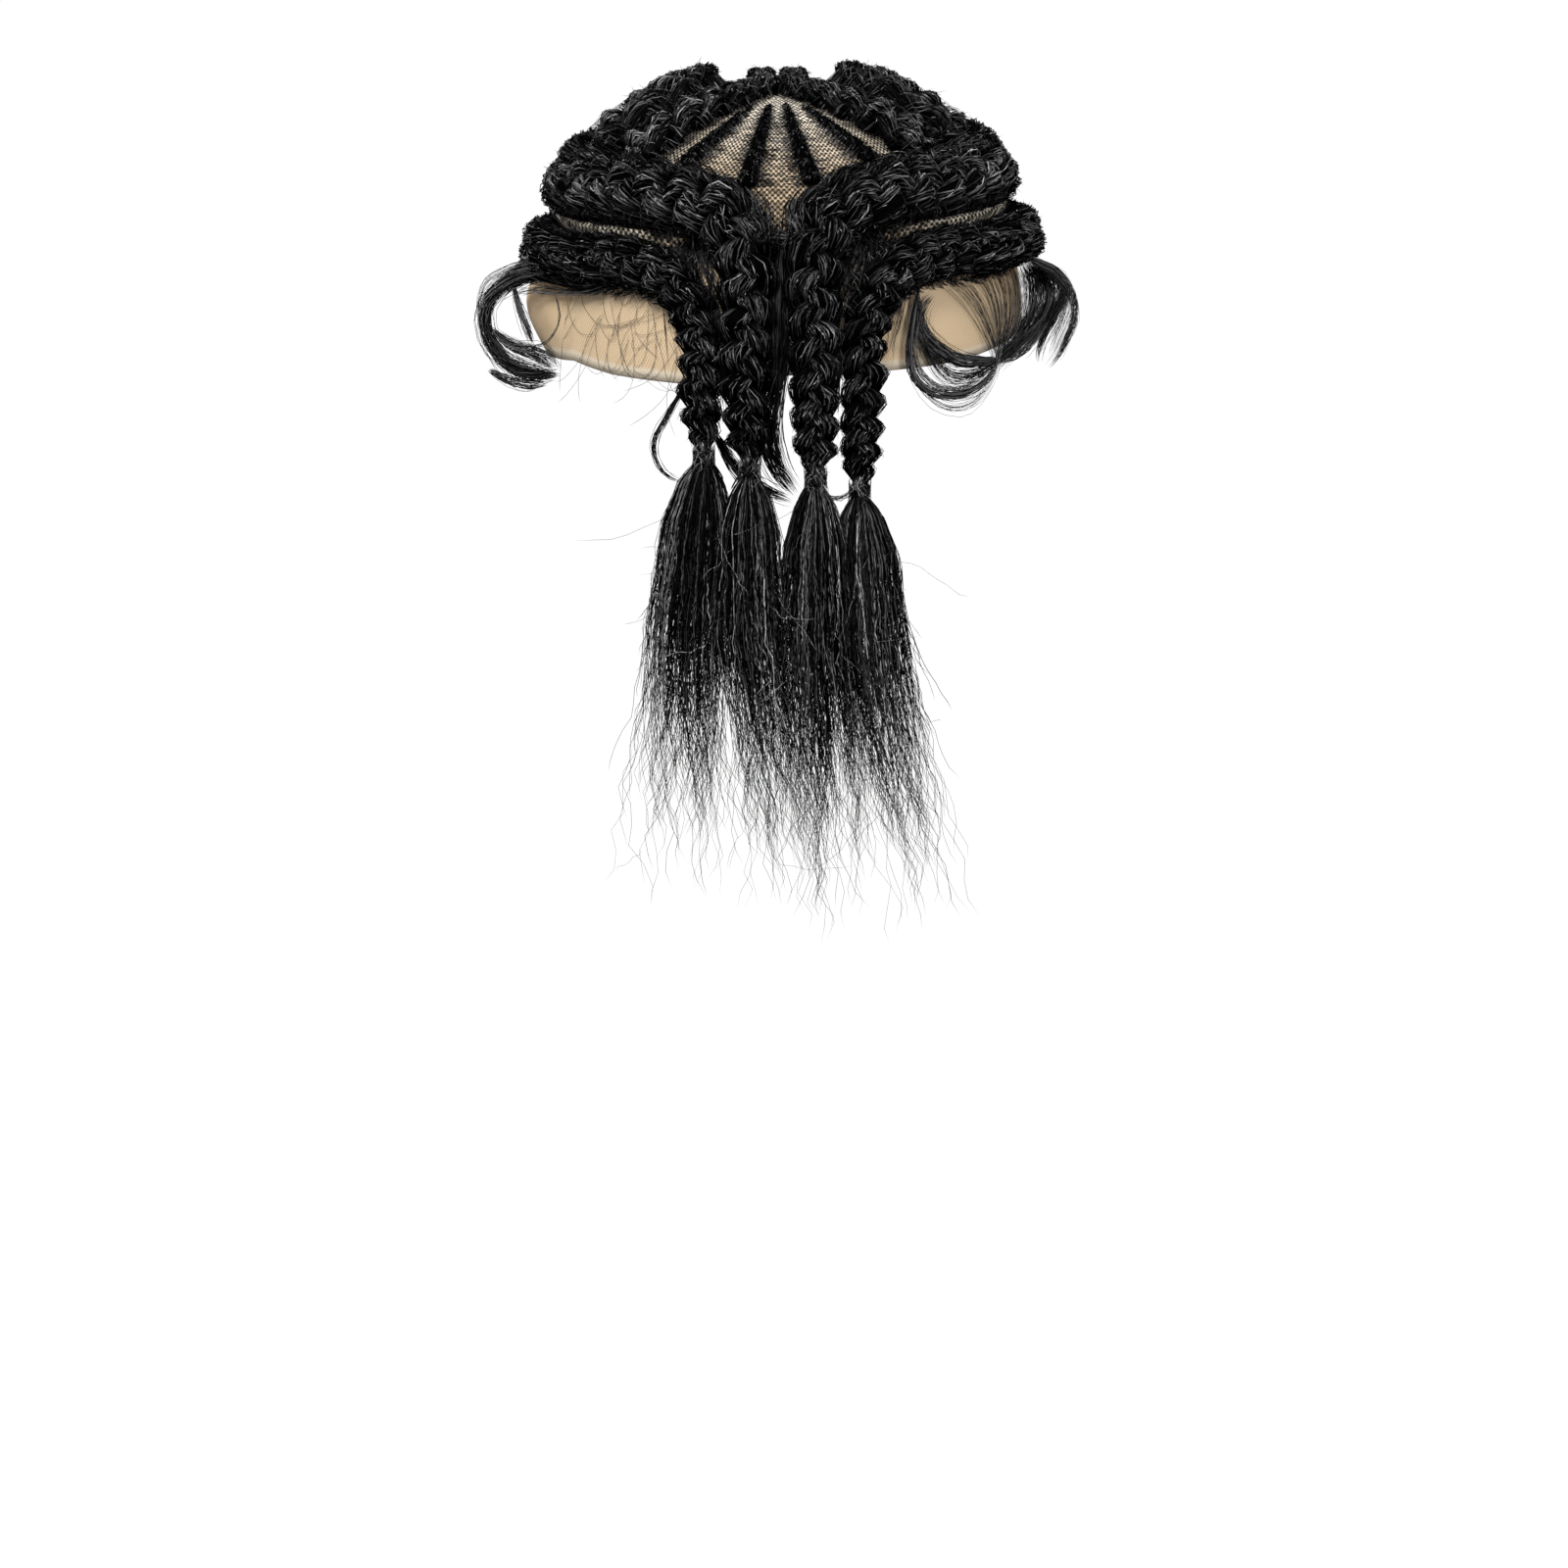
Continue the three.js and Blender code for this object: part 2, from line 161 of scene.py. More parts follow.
def new_finish(name):
    """A material with its principled shader, and its map: whole, across and along."""
    material = bpy.data.materials.new(name)
    material.use_nodes = True
    shader = material.node_tree.nodes["Principled BSDF"]
    whole = Shade(material.node_tree).node("ShaderNodeUVMap", {"uv_map": BAKE_MAP}, {})
    across = whole.node("ShaderNodeSeparateXYZ", {}, {0: whole}, 0)
    along = whole.node("ShaderNodeSeparateXYZ", {}, {0: whole}, 1)
    return material, shader, whole, across, along


def drive(shader, **values):
    """Links shader maths to sockets of a principled shader, named with _ for spaces."""
    for name, value in values.items():
        value.tree.links.new(value.socket, shader.inputs[name.replace("_", " ")])


def lace_finish():
    """Knit at the crown, open net below. The map runs once round, and from the rim up to the crown."""
    material, shader, whole, turn, height = new_finish("lace")
    upper = height.maths("GREATER_THAN", height, KNIT_HALVED)
    top = height.maths("GREATER_THAN", height, KNIT_QUARTERED)
    wale = (turn * KNIT_WALES * (1 - 0.5 * upper - 0.25 * top)).wave()
    course = (height * KNIT_COURSES + 0.5 * wale.rise(0.35, 0.65)).wave()
    knit = course.rise(0.3, 0.65) * (1.2 - 2.8 * wale * (1 - wale))
    slant, fall = turn * NET_WALES, height * NET_COURSES
    thread = (slant + fall).wave().largest((slant - fall).wave()).rise(0.60, 0.88)
    crown = height.rise(*KNIT_EDGE)
    aside = turn.maths("ABSOLUTE", turn - 0.5)
    band = 1 - height.rise(*BAND_EDGE)
    blotch = whole.noise(*KNIT_BLOTCHES)
    dash = whole.noise(*KNIT_DASHES, 1).rise(0.42, 0.58)
    # Painted light and shade: paler high up and at the sides, browner lower down near the back, partly for
    # hair
    lit = height.rise(*KNIT_LIT_HEIGHTS).largest(KNIT_LIT_SIDES * aside.rise(*KNIT_LIT_TURNS))
    knit_painted_light = lit.mix(KNIT_SHADED_BROWN, KNIT_LIT_PALE)
    knit_shade = knit * (0.8 + 1.1 * blotch) * (1.2 - 0.8 * dash)
    knit_colour = knit_shade.smallest(1).mix(KNIT_SHADE, knit_painted_light)
    net_colour = (0.55 + 0.45 * thread - 0.3 * blotch).mix(LACE_BROWN, LACE_TAN)
    colour = band.mix(crown.mix(net_colour, knit_colour), LACE_PALE)
    cover = (0.8 + 0.2 * crown + 0.1 * band + 0.15 * thread).smallest(1)
    drive(shader, Base_Color=colour, Alpha=cover)
    shader.inputs["Roughness"].default_value = LACE_ROUGHNESS
    shader.inputs["Specular IOR Level"].default_value = LACE_GLOSS
    relief = crown * knit + 0.3 * thread
    raised = {"Strength": 0.5, "Distance": KNIT_DEPTH * MM, "Height": relief}
    drive(shader, Normal=whole.node("ShaderNodeBump", {}, raised))
    return material


def round_and_down(place):
    """The turn from the back and the share of the way down from the crown of a place on a round dome."""
    return math.atan2(place.x, -place.y), math.acos(max(-1, min(1, place.z))) / (math.pi / 2)


def new_object(name, data):
    """An object that is part of the scene."""
    made = bpy.data.objects.new(name, data)
    bpy.context.collection.objects.link(made)
    return made


dome = bmesh.new()
meridian = []
for step in range(CAP_STEPS_DOWN + 1):
    down = math.pi / 2 * step / CAP_STEPS_DOWN
    meridian.append(dome.verts.new((0, -math.sin(down), math.cos(down))))
spine = [dome.edges.new(pair) for pair in zip(meridian, meridian[1:])]
bmesh.ops.spin(
    dome, geom=meridian + spine, cent=(0, 0, 0), axis=(0, 0, 1), angle=2 * math.pi,
    steps=CAP_STEPS_ROUND, use_merge=True,
)
bmesh.ops.remove_doubles(dome, verts=dome.verts, dist=1e-5)
bmesh.ops.recalc_face_normals(dome, faces=dome.faces)
lace_map = dome.loops.layers.uv.new(BAKE_MAP)
for face in dome.faces:
    facing, _ = round_and_down(face.calc_center_median())
    for loop in face.loops:
        turn, share = round_and_down(loop.vert.co)
        if math.hypot(loop.vert.co.x, loop.vert.co.y) <= AT_CROWN:
            turn = facing
        turn += 2 * math.pi * round((facing - turn) / (2 * math.pi))
        loop[lace_map].uv = (turn / (2 * math.pi) + 0.5, 1 - share)
for vert in dome.verts:
    turn, share = round_and_down(vert.co)
    turn = math.degrees(turn)
    rim = np.interp(abs(turn), RIM_TURNS, RIM_FALLS)
    off_parting = share * rim - PARTING_FALL + PARTING_LEAN * math.sin(math.radians(turn))
    pulled = np.interp(abs(turn), PARTING_TURNS, [0, 1, 1, 0])
    pulled *= math.exp(-((off_parting / PARTING_SPREAD) ** 2))
    place = on_dome(turn, share * rim, CAP_WALL + PARTING_RISE * pulled)
    slack_round = max(0, 1 - abs(turn - SLACK_TURN) / SLACK_SPAN)
    slack_up = min(1, (1 - share) / SLACK_HEIGHT)
    place[0] -= SLACK * math.sin(math.pi / 2 * slack_round) * math.sin(math.pi * slack_up)
    place[2] -= np.interp(turn, HEM_TURNS, HEM_DROPS) * (1 - slack_up)
    vert.co = place * MM
cap_mesh = bpy.data.meshes.new("lace_cap_net")
dome.to_mesh(cap_mesh)
dome.free()
cap_mesh.shade_smooth()
cap_mesh.materials.append(lace_finish())
lace_cap = new_object("lace_cap_net", cap_mesh)
wall = lace_cap.modifiers.new("wall", "SOLIDIFY")
wall.thickness = LACE_THICKNESS * MM
wall.offset = -1
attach(lace_cap, "root")
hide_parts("lace_cap")

# Cornrows and plaits
# Three strands of black kinky hair, plaited under and knotted to the lace as they go. Two rows on each
# side run off the back of the cap as hanging plaits, and thin rows fan out below the crown.

SIDES = {"left": -1, "right": 1}
GAP = 0.4  # between the cap and what lies on it
ROW_LEAN = math.radians(-1.5)  # by which all the rows lie askew on the cap, lower on the left
SEAT = 0.75  # how much of its lower half stands clear of the cap
LOBE = 0.56  # length of one lobe, as a share of the width
STRAND_SWING, STRAND_RISE, STRAND_RADIUS = 0.5, 0.42, 0.56  # as shares of the half sizes
ROW_TIP = 0.45  # how far a row narrows at a closed end
RELEASE_LENGTH = 25  # over which the underside of a plait rounds out below the cap
NECK_LENGTH, NECK_RADIUS = 7, 2.6  # where a plait narrows to its tie
TIE_HEIGHT = 4.2
ROWS = {  # route: turn and fall on the cap; the rest: shares of the length with widths or shares of them
    "centre_row": {
        "route": [
            [176, 63], [174, 40], [170, 20], [155, 6], [90, 2.2],
            [17, 8.5], [30, 18.5], [41, 30], [49.5, 45],
        ],
        "widths": [[0, 6.5], [0.3, 8], [0.65, 9], [0.76, 13.5], [1, 21]],
        "thickness": [[0, 0.56]],
    },
    "top_row": {
        "route": [[161, 62], [144, 32], [110, 18], [79, 20], [70, 30], [73, 46]],
        "widths": [[0, 9], [0.4, 15], [0.6, 18.5], [1, 24]],
        "thickness": [[0, 0.5]],
    },
    "inner_plait": {
        "route": [
            [148, 65], [136, 55], [115, 51], [95, 52], [70, 54.2],
            [46, 53.8], [26, 55.3], [13, 59.5], [8, 68],
        ],
        "widths": [[0, 9], [0.2, 17], [0.35, 21], [0.66, 22], [0.77, 18.5], [0.88, 16], [1, 12.5]],
        "thickness": [[0, 0.58], [0.62, 0.6], [0.76, 0.76]],
    },
    "outer_plait": {
        "route": [[128, 73], [112, 71], [90, 71.2], [56, 70.3], [34, 70], [23.6, 74], [18.4, 82]],
        "widths": [[0, 8], [0.2, 13], [0.35, 16], [0.55, 16], [0.72, 15], [0.85, 14.5], [1, 12]],
        "thickness": [[0, 0.8], [0.6, 0.78], [0.8, 0.76]],
    },
    "fan_row_inner": {
        "route": [[5, 17], [6.5, 33], [9.5, 50]],
        "widths": [[0, 1.2], [0.35, 3.4], [1, 6.6]],
        "thickness": [[0, 0.7]],
    },
    "fan_row_outer": {
        "route": [[15, 18.5], [22.5, 31], [30.5, 44.5]],
        "widths": [[0, 1.2], [0.35, 3.4], [1, 6.6]],
        "thickness": [[0, 0.7]],
    },
}
HANGS = {  # where the plaits hang clear: the line of their inner face down to the tie
    "inner_plait": {
        "left": [[-11, -96, -72], [-10.5, -97, -90], [-10, -96.5, -107]],
        "right": [[8.8, -96, -72], [8.8, -97, -90], [9.2, -96.5, -110]],
    },
    "outer_plait": {
        "left": [[-24, -93.5, -84], [-23.5, -94, -94], [-23.3, -93.5, -103]],
        "right": [[22.6, -93.5, -84], [22.2, -94, -98], [22, -93.5, -114]],
    },
}
ROOTS = {  # for the upper and the lower edge: shares of the seat with the reach onto the lace there,
    # hairs a millimetre, least and greatest run, and how far out they end, in shares of the half width
    "centre_row": [
        [[[0, 0.8]], 1.5, [2, 6], [0.4, 1]],
        [[[0, 4], [0.5, 4], [0.6, 0.4], [1, 1]], 4, [3, 10], [0.3, 1]],
    ],
    "top_row": [[[[0, 5]], 4, [3, 11], [0.3, 1]], [[[0, 6]], 5, [3, 11], [0.3, 1]]],
    "inner_plait": [
        [[[0, 8], [0.7, 8], [0.86, 6], [1, 5]], 6, [6, 24], [0.2, 1]],
        [[[0, 0.8], [0.62, 0.8], [0.78, 5], [1, 6]], 3, [4, 14], [0.6, 1]],
    ],
    "outer_plait": [
        [[[0, 0.8], [0.55, 0.8], [0.78, 5], [1, 7]], 3, [4, 14], [0.6, 1]],
        [[[0, 3]], 3, [4, 14], [0.6, 1]],
    ],
    "fan_row_inner": [[[[0, 1], [0.4, 4.5], [1, 6.5]], 2.6, [0.4, 1.6], [0.3, 0.9]]] * 2,
    "fan_row_outer": [[[[0, 0.4], [0.5, 4], [1, 7]], 2.6, [0.4, 1.6], [0.3, 0.9]]] * 2,
}
SAMPLE = 0.6  # length between the places that are worked out along a row
HAIR_SPACING = 0.46  # round a strand
HAIR_THICKNESS = 0.4  # a drawn hair stands for several real ones
HAIR_STEP = 3.6  # length of one straight piece of a hair
HAIR_PIECES = 9  # most of them in a hair
HAIR_TWIST = (0.15, 0.3)  # mean and spread of the turn round its strand, over one width of the row
HAIR_DEPTHS = (0.88, 1.07)  # of the hairs of a strand, as shares of its radius
HAIR_TUCK = 0.25  # how far a hair may go on under the next strand, as a share of the half width
HAIR_CLUMPS = 40  # along a strand, each with its own tone
HAIR_COVER = 0.9  # share of a strand's radius within which it hides the hairs of the others
STRAND_SIDES = 8
STRAND_CORE = 0.84  # radius of a strand's dark core, as a share of its own
STRAND_GIRTH = 0.85  # of a strand, as a share of a round one's
CORE_RINGS = 5
THIN_ROW = 9  # half width below which hair is darker and its loose ends are shorter
WIDE_ROW = 11.5  # half width from which hairs are full thick
FUZZ_PER_MM = 15
FUZZ_LENGTHS, FUZZ_SPREAD, FUZZ_THICKNESS = (1.2, 4.2), 0.22, 0.2
ROOT_POINTS = 5
ROOT_THICKNESS, ROOT_TONE = 0.26, 0.7
CURVE_STEPS = 60  # between two given points of a line
TONE_LOWEST, TONE_RANGE = 0.01, 0.96  # where the tones lie on the map
TONE_SKEW = 0.02  # how broad a hair is there
OPEN_ANGLES = [-100, 0, 100]  # degrees, of the corners of a hair that is open underneath
SLANT = np.array([0.36, 0.52, 0.77])  # a direction to set the corners of the others by
HAIR_BLACK = (0.0012, 0.0012, 0.0014, 1)
# Grey of the painted highlights on the rows and plaits, over their black
HAIR_HIGHLIGHT_GREY = (0.85, 0.85, 0.87, 1)
chance = np.random.default_rng(11)


def unit(vectors):
    return vectors / np.maximum(np.linalg.norm(vectors, axis=-1, keepdims=True), 1e-9)


def ease(share):
    share = np.clip(share, 0, 1)
    return share * share * (3 - 2 * share)


def smooth_line(points, spacing):
    """Places `spacing` apart on a smooth curve through points, their distances along it, and the number of
    the point that each has passed."""
    points = np.asarray(points, float)
    reach = np.vstack([2 * points[0] - points[1], points, 2 * points[-1] - points[-2]])
    share = np.linspace(0, 1, CURVE_STEPS, endpoint=False)[:, None]
    curve = []
    for p0, p1, p2, p3 in zip(reach, reach[1:], reach[2:], reach[3:]):
        d0, d1, d2 = (np.linalg.norm(b - a) ** 0.5 for a, b in ((p0, p1), (p1, p2), (p2, p3)))
        leave = d1 * ((p1 - p0) / d0 - (p2 - p0) / (d0 + d1) + (p2 - p1) / d1)
        arrive = d1 * ((p2 - p1) / d1 - (p3 - p1) / (d1 + d2) + (p3 - p2) / d2)
        bend = 3 * (p2 - p1) - 2 * leave - arrive
        curve.append(p1 + leave * share + bend * share**2 + (2 * (p1 - p2) + leave + arrive) * share**3)
    curve = np.concatenate([*curve, points[-1:]])
    at = np.concatenate([[0], np.cumsum(np.linalg.norm(np.diff(curve, axis=0), axis=1))])
    even = np.linspace(0, at[-1], max(4, round(at[-1] / spacing) + 1))
    passed = np.interp(even, at, np.arange(len(curve)) / CURVE_STEPS)
    return np.stack([np.interp(even, at, curve[:, axis]) for axis in range(3)], 1), even, passed


def cap_shares(places):
    """Distance from the upright axis and height, in shares of the cap's outer half axes."""
    reach = np.hypot(places[..., 0] / (HALF_WIDTH + CAP_WALL), places[..., 1] / (HALF_DEPTH + CAP_WALL))
    return reach, np.maximum(places[..., 2] + CROWN, 0) / (CROWN + CAP_WALL)


def outward(places):
    """The direction away from the cap, level below its widest line."""
    reach, height = cap_shares(places)
    level = reach ** (SQUARENESS - 2)
    x = level * places[..., 0] / (HALF_WIDTH + CAP_WALL) ** 2
    y = level * places[..., 1] / (HALF_DEPTH + CAP_WALL) ** 2
    return unit(np.stack([x, y, height ** (SQUARENESS - 1) / (CROWN + CAP_WALL)], -1))


def onto_cap(places, seated):
    """Places moved to the cap's outer face where they are seated on it or lie inside it."""
    middle = np.array([0, 0, -CROWN])
    reach, height = cap_shares(places)
    depth = (reach**SQUARENESS + height**SQUARENESS) ** (1 / SQUARENESS)
    moves = seated | (depth < 1)
    return np.where(moves[..., None], (places - middle) / depth[..., None] + middle, places)


def askew(places):
    """Places on the cap turned about the front-to-back axis, as all the rows are."""
    x, y, z = places.T
    height = z + CROWN
    lean_x = x * math.cos(ROW_LEAN) + height * math.sin(ROW_LEAN)
    return np.stack([lean_x, y, height * math.cos(ROW_LEAN) - x * math.sin(ROW_LEAN) - CROWN], 1)


class Row:
    """The line of one cornrow or plait, and the place of any point of its section along it."""

    def __init__(self, name, side):
        row = ROWS[name]
        turns, falls = np.array(row["route"]).T
        hang = HANGS.get(name, {}).get(side, [])
        seats = askew(on_dome(SIDES[side] * turns, falls, CAP_WALL))
        line, at, passed = smooth_line(np.vstack([seats, *[np.array([p]) for p in hang]]), SAMPLE)
        length = at[-1]
        seated = passed <= len(seats) - 1
        shares, widths = np.array(row["widths"]).T
        self.at = at
        self.hangs = len(hang) > 0
        self.half_width = np.interp(at / length, shares, widths) / 2
        self.half_thick = self.half_width * np.interp(at / length, *np.array(row["thickness"]).T)
        self.along = unit(np.gradient(line, axis=0))
        self.base = onto_cap(line, seated)
        self.seats = np.count_nonzero(seated)
        self.up = outward(self.base)
        self.up = unit(self.up - self.along * (self.up * self.along).sum(1, keepdims=True))
        self.across = np.cross(self.up, self.along)
        self.middle = self.base + self.up * (GAP + SEAT * self.half_thick)[:, None]
        release = ease((at - at[seated][-1]) / RELEASE_LENGTH)
        self.floor = -(SEAT + (1 - SEAT) * release) * self.half_thick
        stations = [0]
        while stations[-1] < length:
            width = np.interp(stations[-1] / length, shares, widths)
            stations.append(stations[-1] + LOBE * width / 2)
        places = np.array(stations) * length / stations[-1]
        self.phase = np.interp(at, places, np.arange(len(places)) * math.pi / 3)
        neck_at = length - TIE_HEIGHT / 2 - GAP
        self.neck = ease((at - neck_at + NECK_LENGTH) / NECK_LENGTH) * self.hangs
        ends = [ROW_TIP, 1, 1, 1 if self.hangs else ROW_TIP]
        self.fullness = np.interp(at, [0, places[1], places[-2], length], ends)

    def strand(self, number):
        """Middle and radius of a strand along the row, in shares of the half sizes, plumpest on top."""
        angle = self.phase + number * 2 * math.pi / 3
        over = -np.sin(2 * angle)
        right = STRAND_SWING * np.sign(np.cos(angle)) * np.abs(np.cos(angle)) ** 0.7
        return right, STRAND_RISE * over, STRAND_RADIUS * (0.8 + 0.3 * np.maximum(over, 0))

    def place(self, right, rise, at=slice(None)):
        """Points of the section, in shares of the half sizes, all along the row or at places of it."""
        neck = self.neck[at]
        free = self.fullness[at] * (1 - neck)
        out = right * (self.half_width[at] * free + NECK_RADIUS * neck)
        above = np.maximum(rise * (self.half_thick[at] * free + NECK_RADIUS * neck), self.floor[at])
        return self.middle[at] + self.across[at] * out[..., None] + self.up[at] * above[..., None]


def rod_faces(rings, sides, closed):
    """Triangles of a rod: a tip, rings of points, and a tip. An open rod has no face on its last side."""
    this = np.arange(sides if closed else sides - 1)
    after = (this + 1) % sides
    faces = [np.stack([0 * this, 1 + after, 1 + this], 1)]
    for ring in range(rings - 1):
        low = 1 + ring * sides
        high = low + sides
        faces.append(np.stack([low + this, low + after, high + after], 1))
        faces.append(np.stack([low + this, high + after, high + this], 1))
    last = 1 + (rings - 1) * sides
    faces.append(np.stack([0 * this + last + sides, last + this, last + after], 1))
    return np.concatenate(faces)


class Hairs:
    """Hairs gathered into one mesh. Each is a thin rod, pointed at both ends."""

    def __init__(self):
        self.places = []
        self.faces = []
        self.map = []
        self.count = 0

    def add_rods(self, rings, tips, tone, closed=True):
        """Rods from rings (rods, rings, sides, xyz) and tips (rods, 2, xyz), each with its tone, 0 to 1."""
        rods, along, sides, _ = rings.shape
        places = np.concatenate([tips[:, :1], rings.reshape(rods, along * sides, 3), tips[:, 1:]], 1)
        size = places.shape[1]
        first = self.count + np.arange(rods) * size
        self.faces.append((first[:, None, None] + rod_faces(along, sides, closed)).reshape(-1, 3))
        self.places.append(places.reshape(-1, 3))
        self.count += rods * size
        share = np.concatenate([[0], np.repeat(np.arange(1, along + 1), sides), [along + 1]]) / (along + 1)
        skew = np.concatenate([[0.5], np.tile(np.arange(sides) / sides, along), [0.5]]) * TONE_SKEW
        across = TONE_LOWEST + TONE_RANGE * np.broadcast_to(tone, rods)[:, None] + skew
        self.map.append(np.stack([across, np.broadcast_to(share, across.shape)], -1).reshape(-1, 2))

    def add(self, lines, thickness, tone, away=None):
        """Hairs along lines (hairs, points, xyz). Thickness is one number, one per hair, or one per point.
        With `away`, the direction off what they lie on, they are open on the side that can't be seen."""
        hairs, points, _ = lines.shape
        ahead = unit(lines[:, 2:] - lines[:, :-2])
        if away is None:
            above = unit(np.cross(ahead, SLANT))
            angle = 2 * math.pi * np.arange(3) / 3
        else:
            above = np.broadcast_to(away, lines.shape)[:, 1:-1]
            above = unit(above - ahead * (above * ahead).sum(-1, keepdims=True))
            angle = np.radians(OPEN_ANGLES)
        aside = np.cross(ahead, above)
        turned = above[:, :, None] * np.cos(angle)[:, None] + aside[:, :, None] * np.sin(angle)[:, None]
        thickness = np.asarray(thickness, float)
        if thickness.ndim == 1:
            thickness = thickness[:, None]
        radius = np.broadcast_to(thickness, (hairs, points))[:, 1:-1] / 2
        rings = lines[:, 1:-1, None] + turned * radius[..., None, None]
        self.add_rods(rings, lines[:, [0, -1]], tone, away is None)

    def piece(self, name, finish, slot, *nodes):
        """One object of all the hairs, in place of the named nodes."""
        mesh = bpy.data.meshes.new(name)
        places = np.concatenate(self.places) * MM
        corners = np.concatenate(self.faces).ravel()
        mesh.vertices.add(len(places))
        mesh.vertices.foreach_set("co", places.ravel())
        mesh.loops.add(len(corners))
        mesh.loops.foreach_set("vertex_index", corners)
        mesh.polygons.add(len(corners) // 3)
        mesh.polygons.foreach_set("loop_start", np.arange(0, len(corners), 3))
        mesh.update(calc_edges=True)
        layer = mesh.uv_layers.new(name=BAKE_MAP)
        layer.uv.foreach_set("vector", np.concatenate(self.map)[corners].ravel())
        mesh.shade_smooth()
        mesh.materials.append(finish)
        made = new_object(name, mesh)
        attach(made, "root")
        if nodes:
            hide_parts(*nodes)


def hair_finish(name, light, roughness, specks, speckle, crest_highlight):
    """Black hair. The map's first number is a hair's own tone, and its second runs from root to tip, with
    `specks` along it. The grey `light` is painted highlight, more of it the higher the tone, broken into
    painted glints at the specks, as the shader has no shine of its own. With a `crest_highlight` of 1 a
    hair has its painted highlight only halfway along, on top of its lobe."""
    material, shader, whole, tone, along = new_finish(name)
    # Painted glints: the noise of the kinks lightens the colour in specks, and roughens the hair there.
    kinks_and_glints = whole.noise(260, specks, 1).rise(0.42, 0.6)
    shifted = along + 0.7 * whole.noise(90, 1) - 0.35
    # Painted highlight halfway along each hair, on the crest of its lobe.
    top = shifted.rise(0.1, 0.42) * (1 - shifted.rise(0.48, 0.85))
    painted_streak = (tone ** 3) * (1 - speckle + 1.5 * speckle * kinks_and_glints) * (1 - crest_highlight + crest_highlight * top)
    drive(shader, Base_Color=painted_streak.smallest(1).mix(HAIR_BLACK, light), Roughness=roughness + 0.2 * kinks_and_glints)
    # The shader has no shine of its own: all highlights are painted in the colour.
    shader.inputs["Specular IOR Level"].default_value = 0
    return material


plaited_hair = hair_finish("plaited_hair", HAIR_HIGHLIGHT_GREY, roughness=0.4, specks=6, speckle=0.9, crest_highlight=1)


def painted_hollow_shade(height):
    """Painted shade: hair full light on top of the lobes and darker in their hollows, by height in the
    section.
    """
    return 0.3 + 0.7 * ease((height + 0.1) / 0.8)


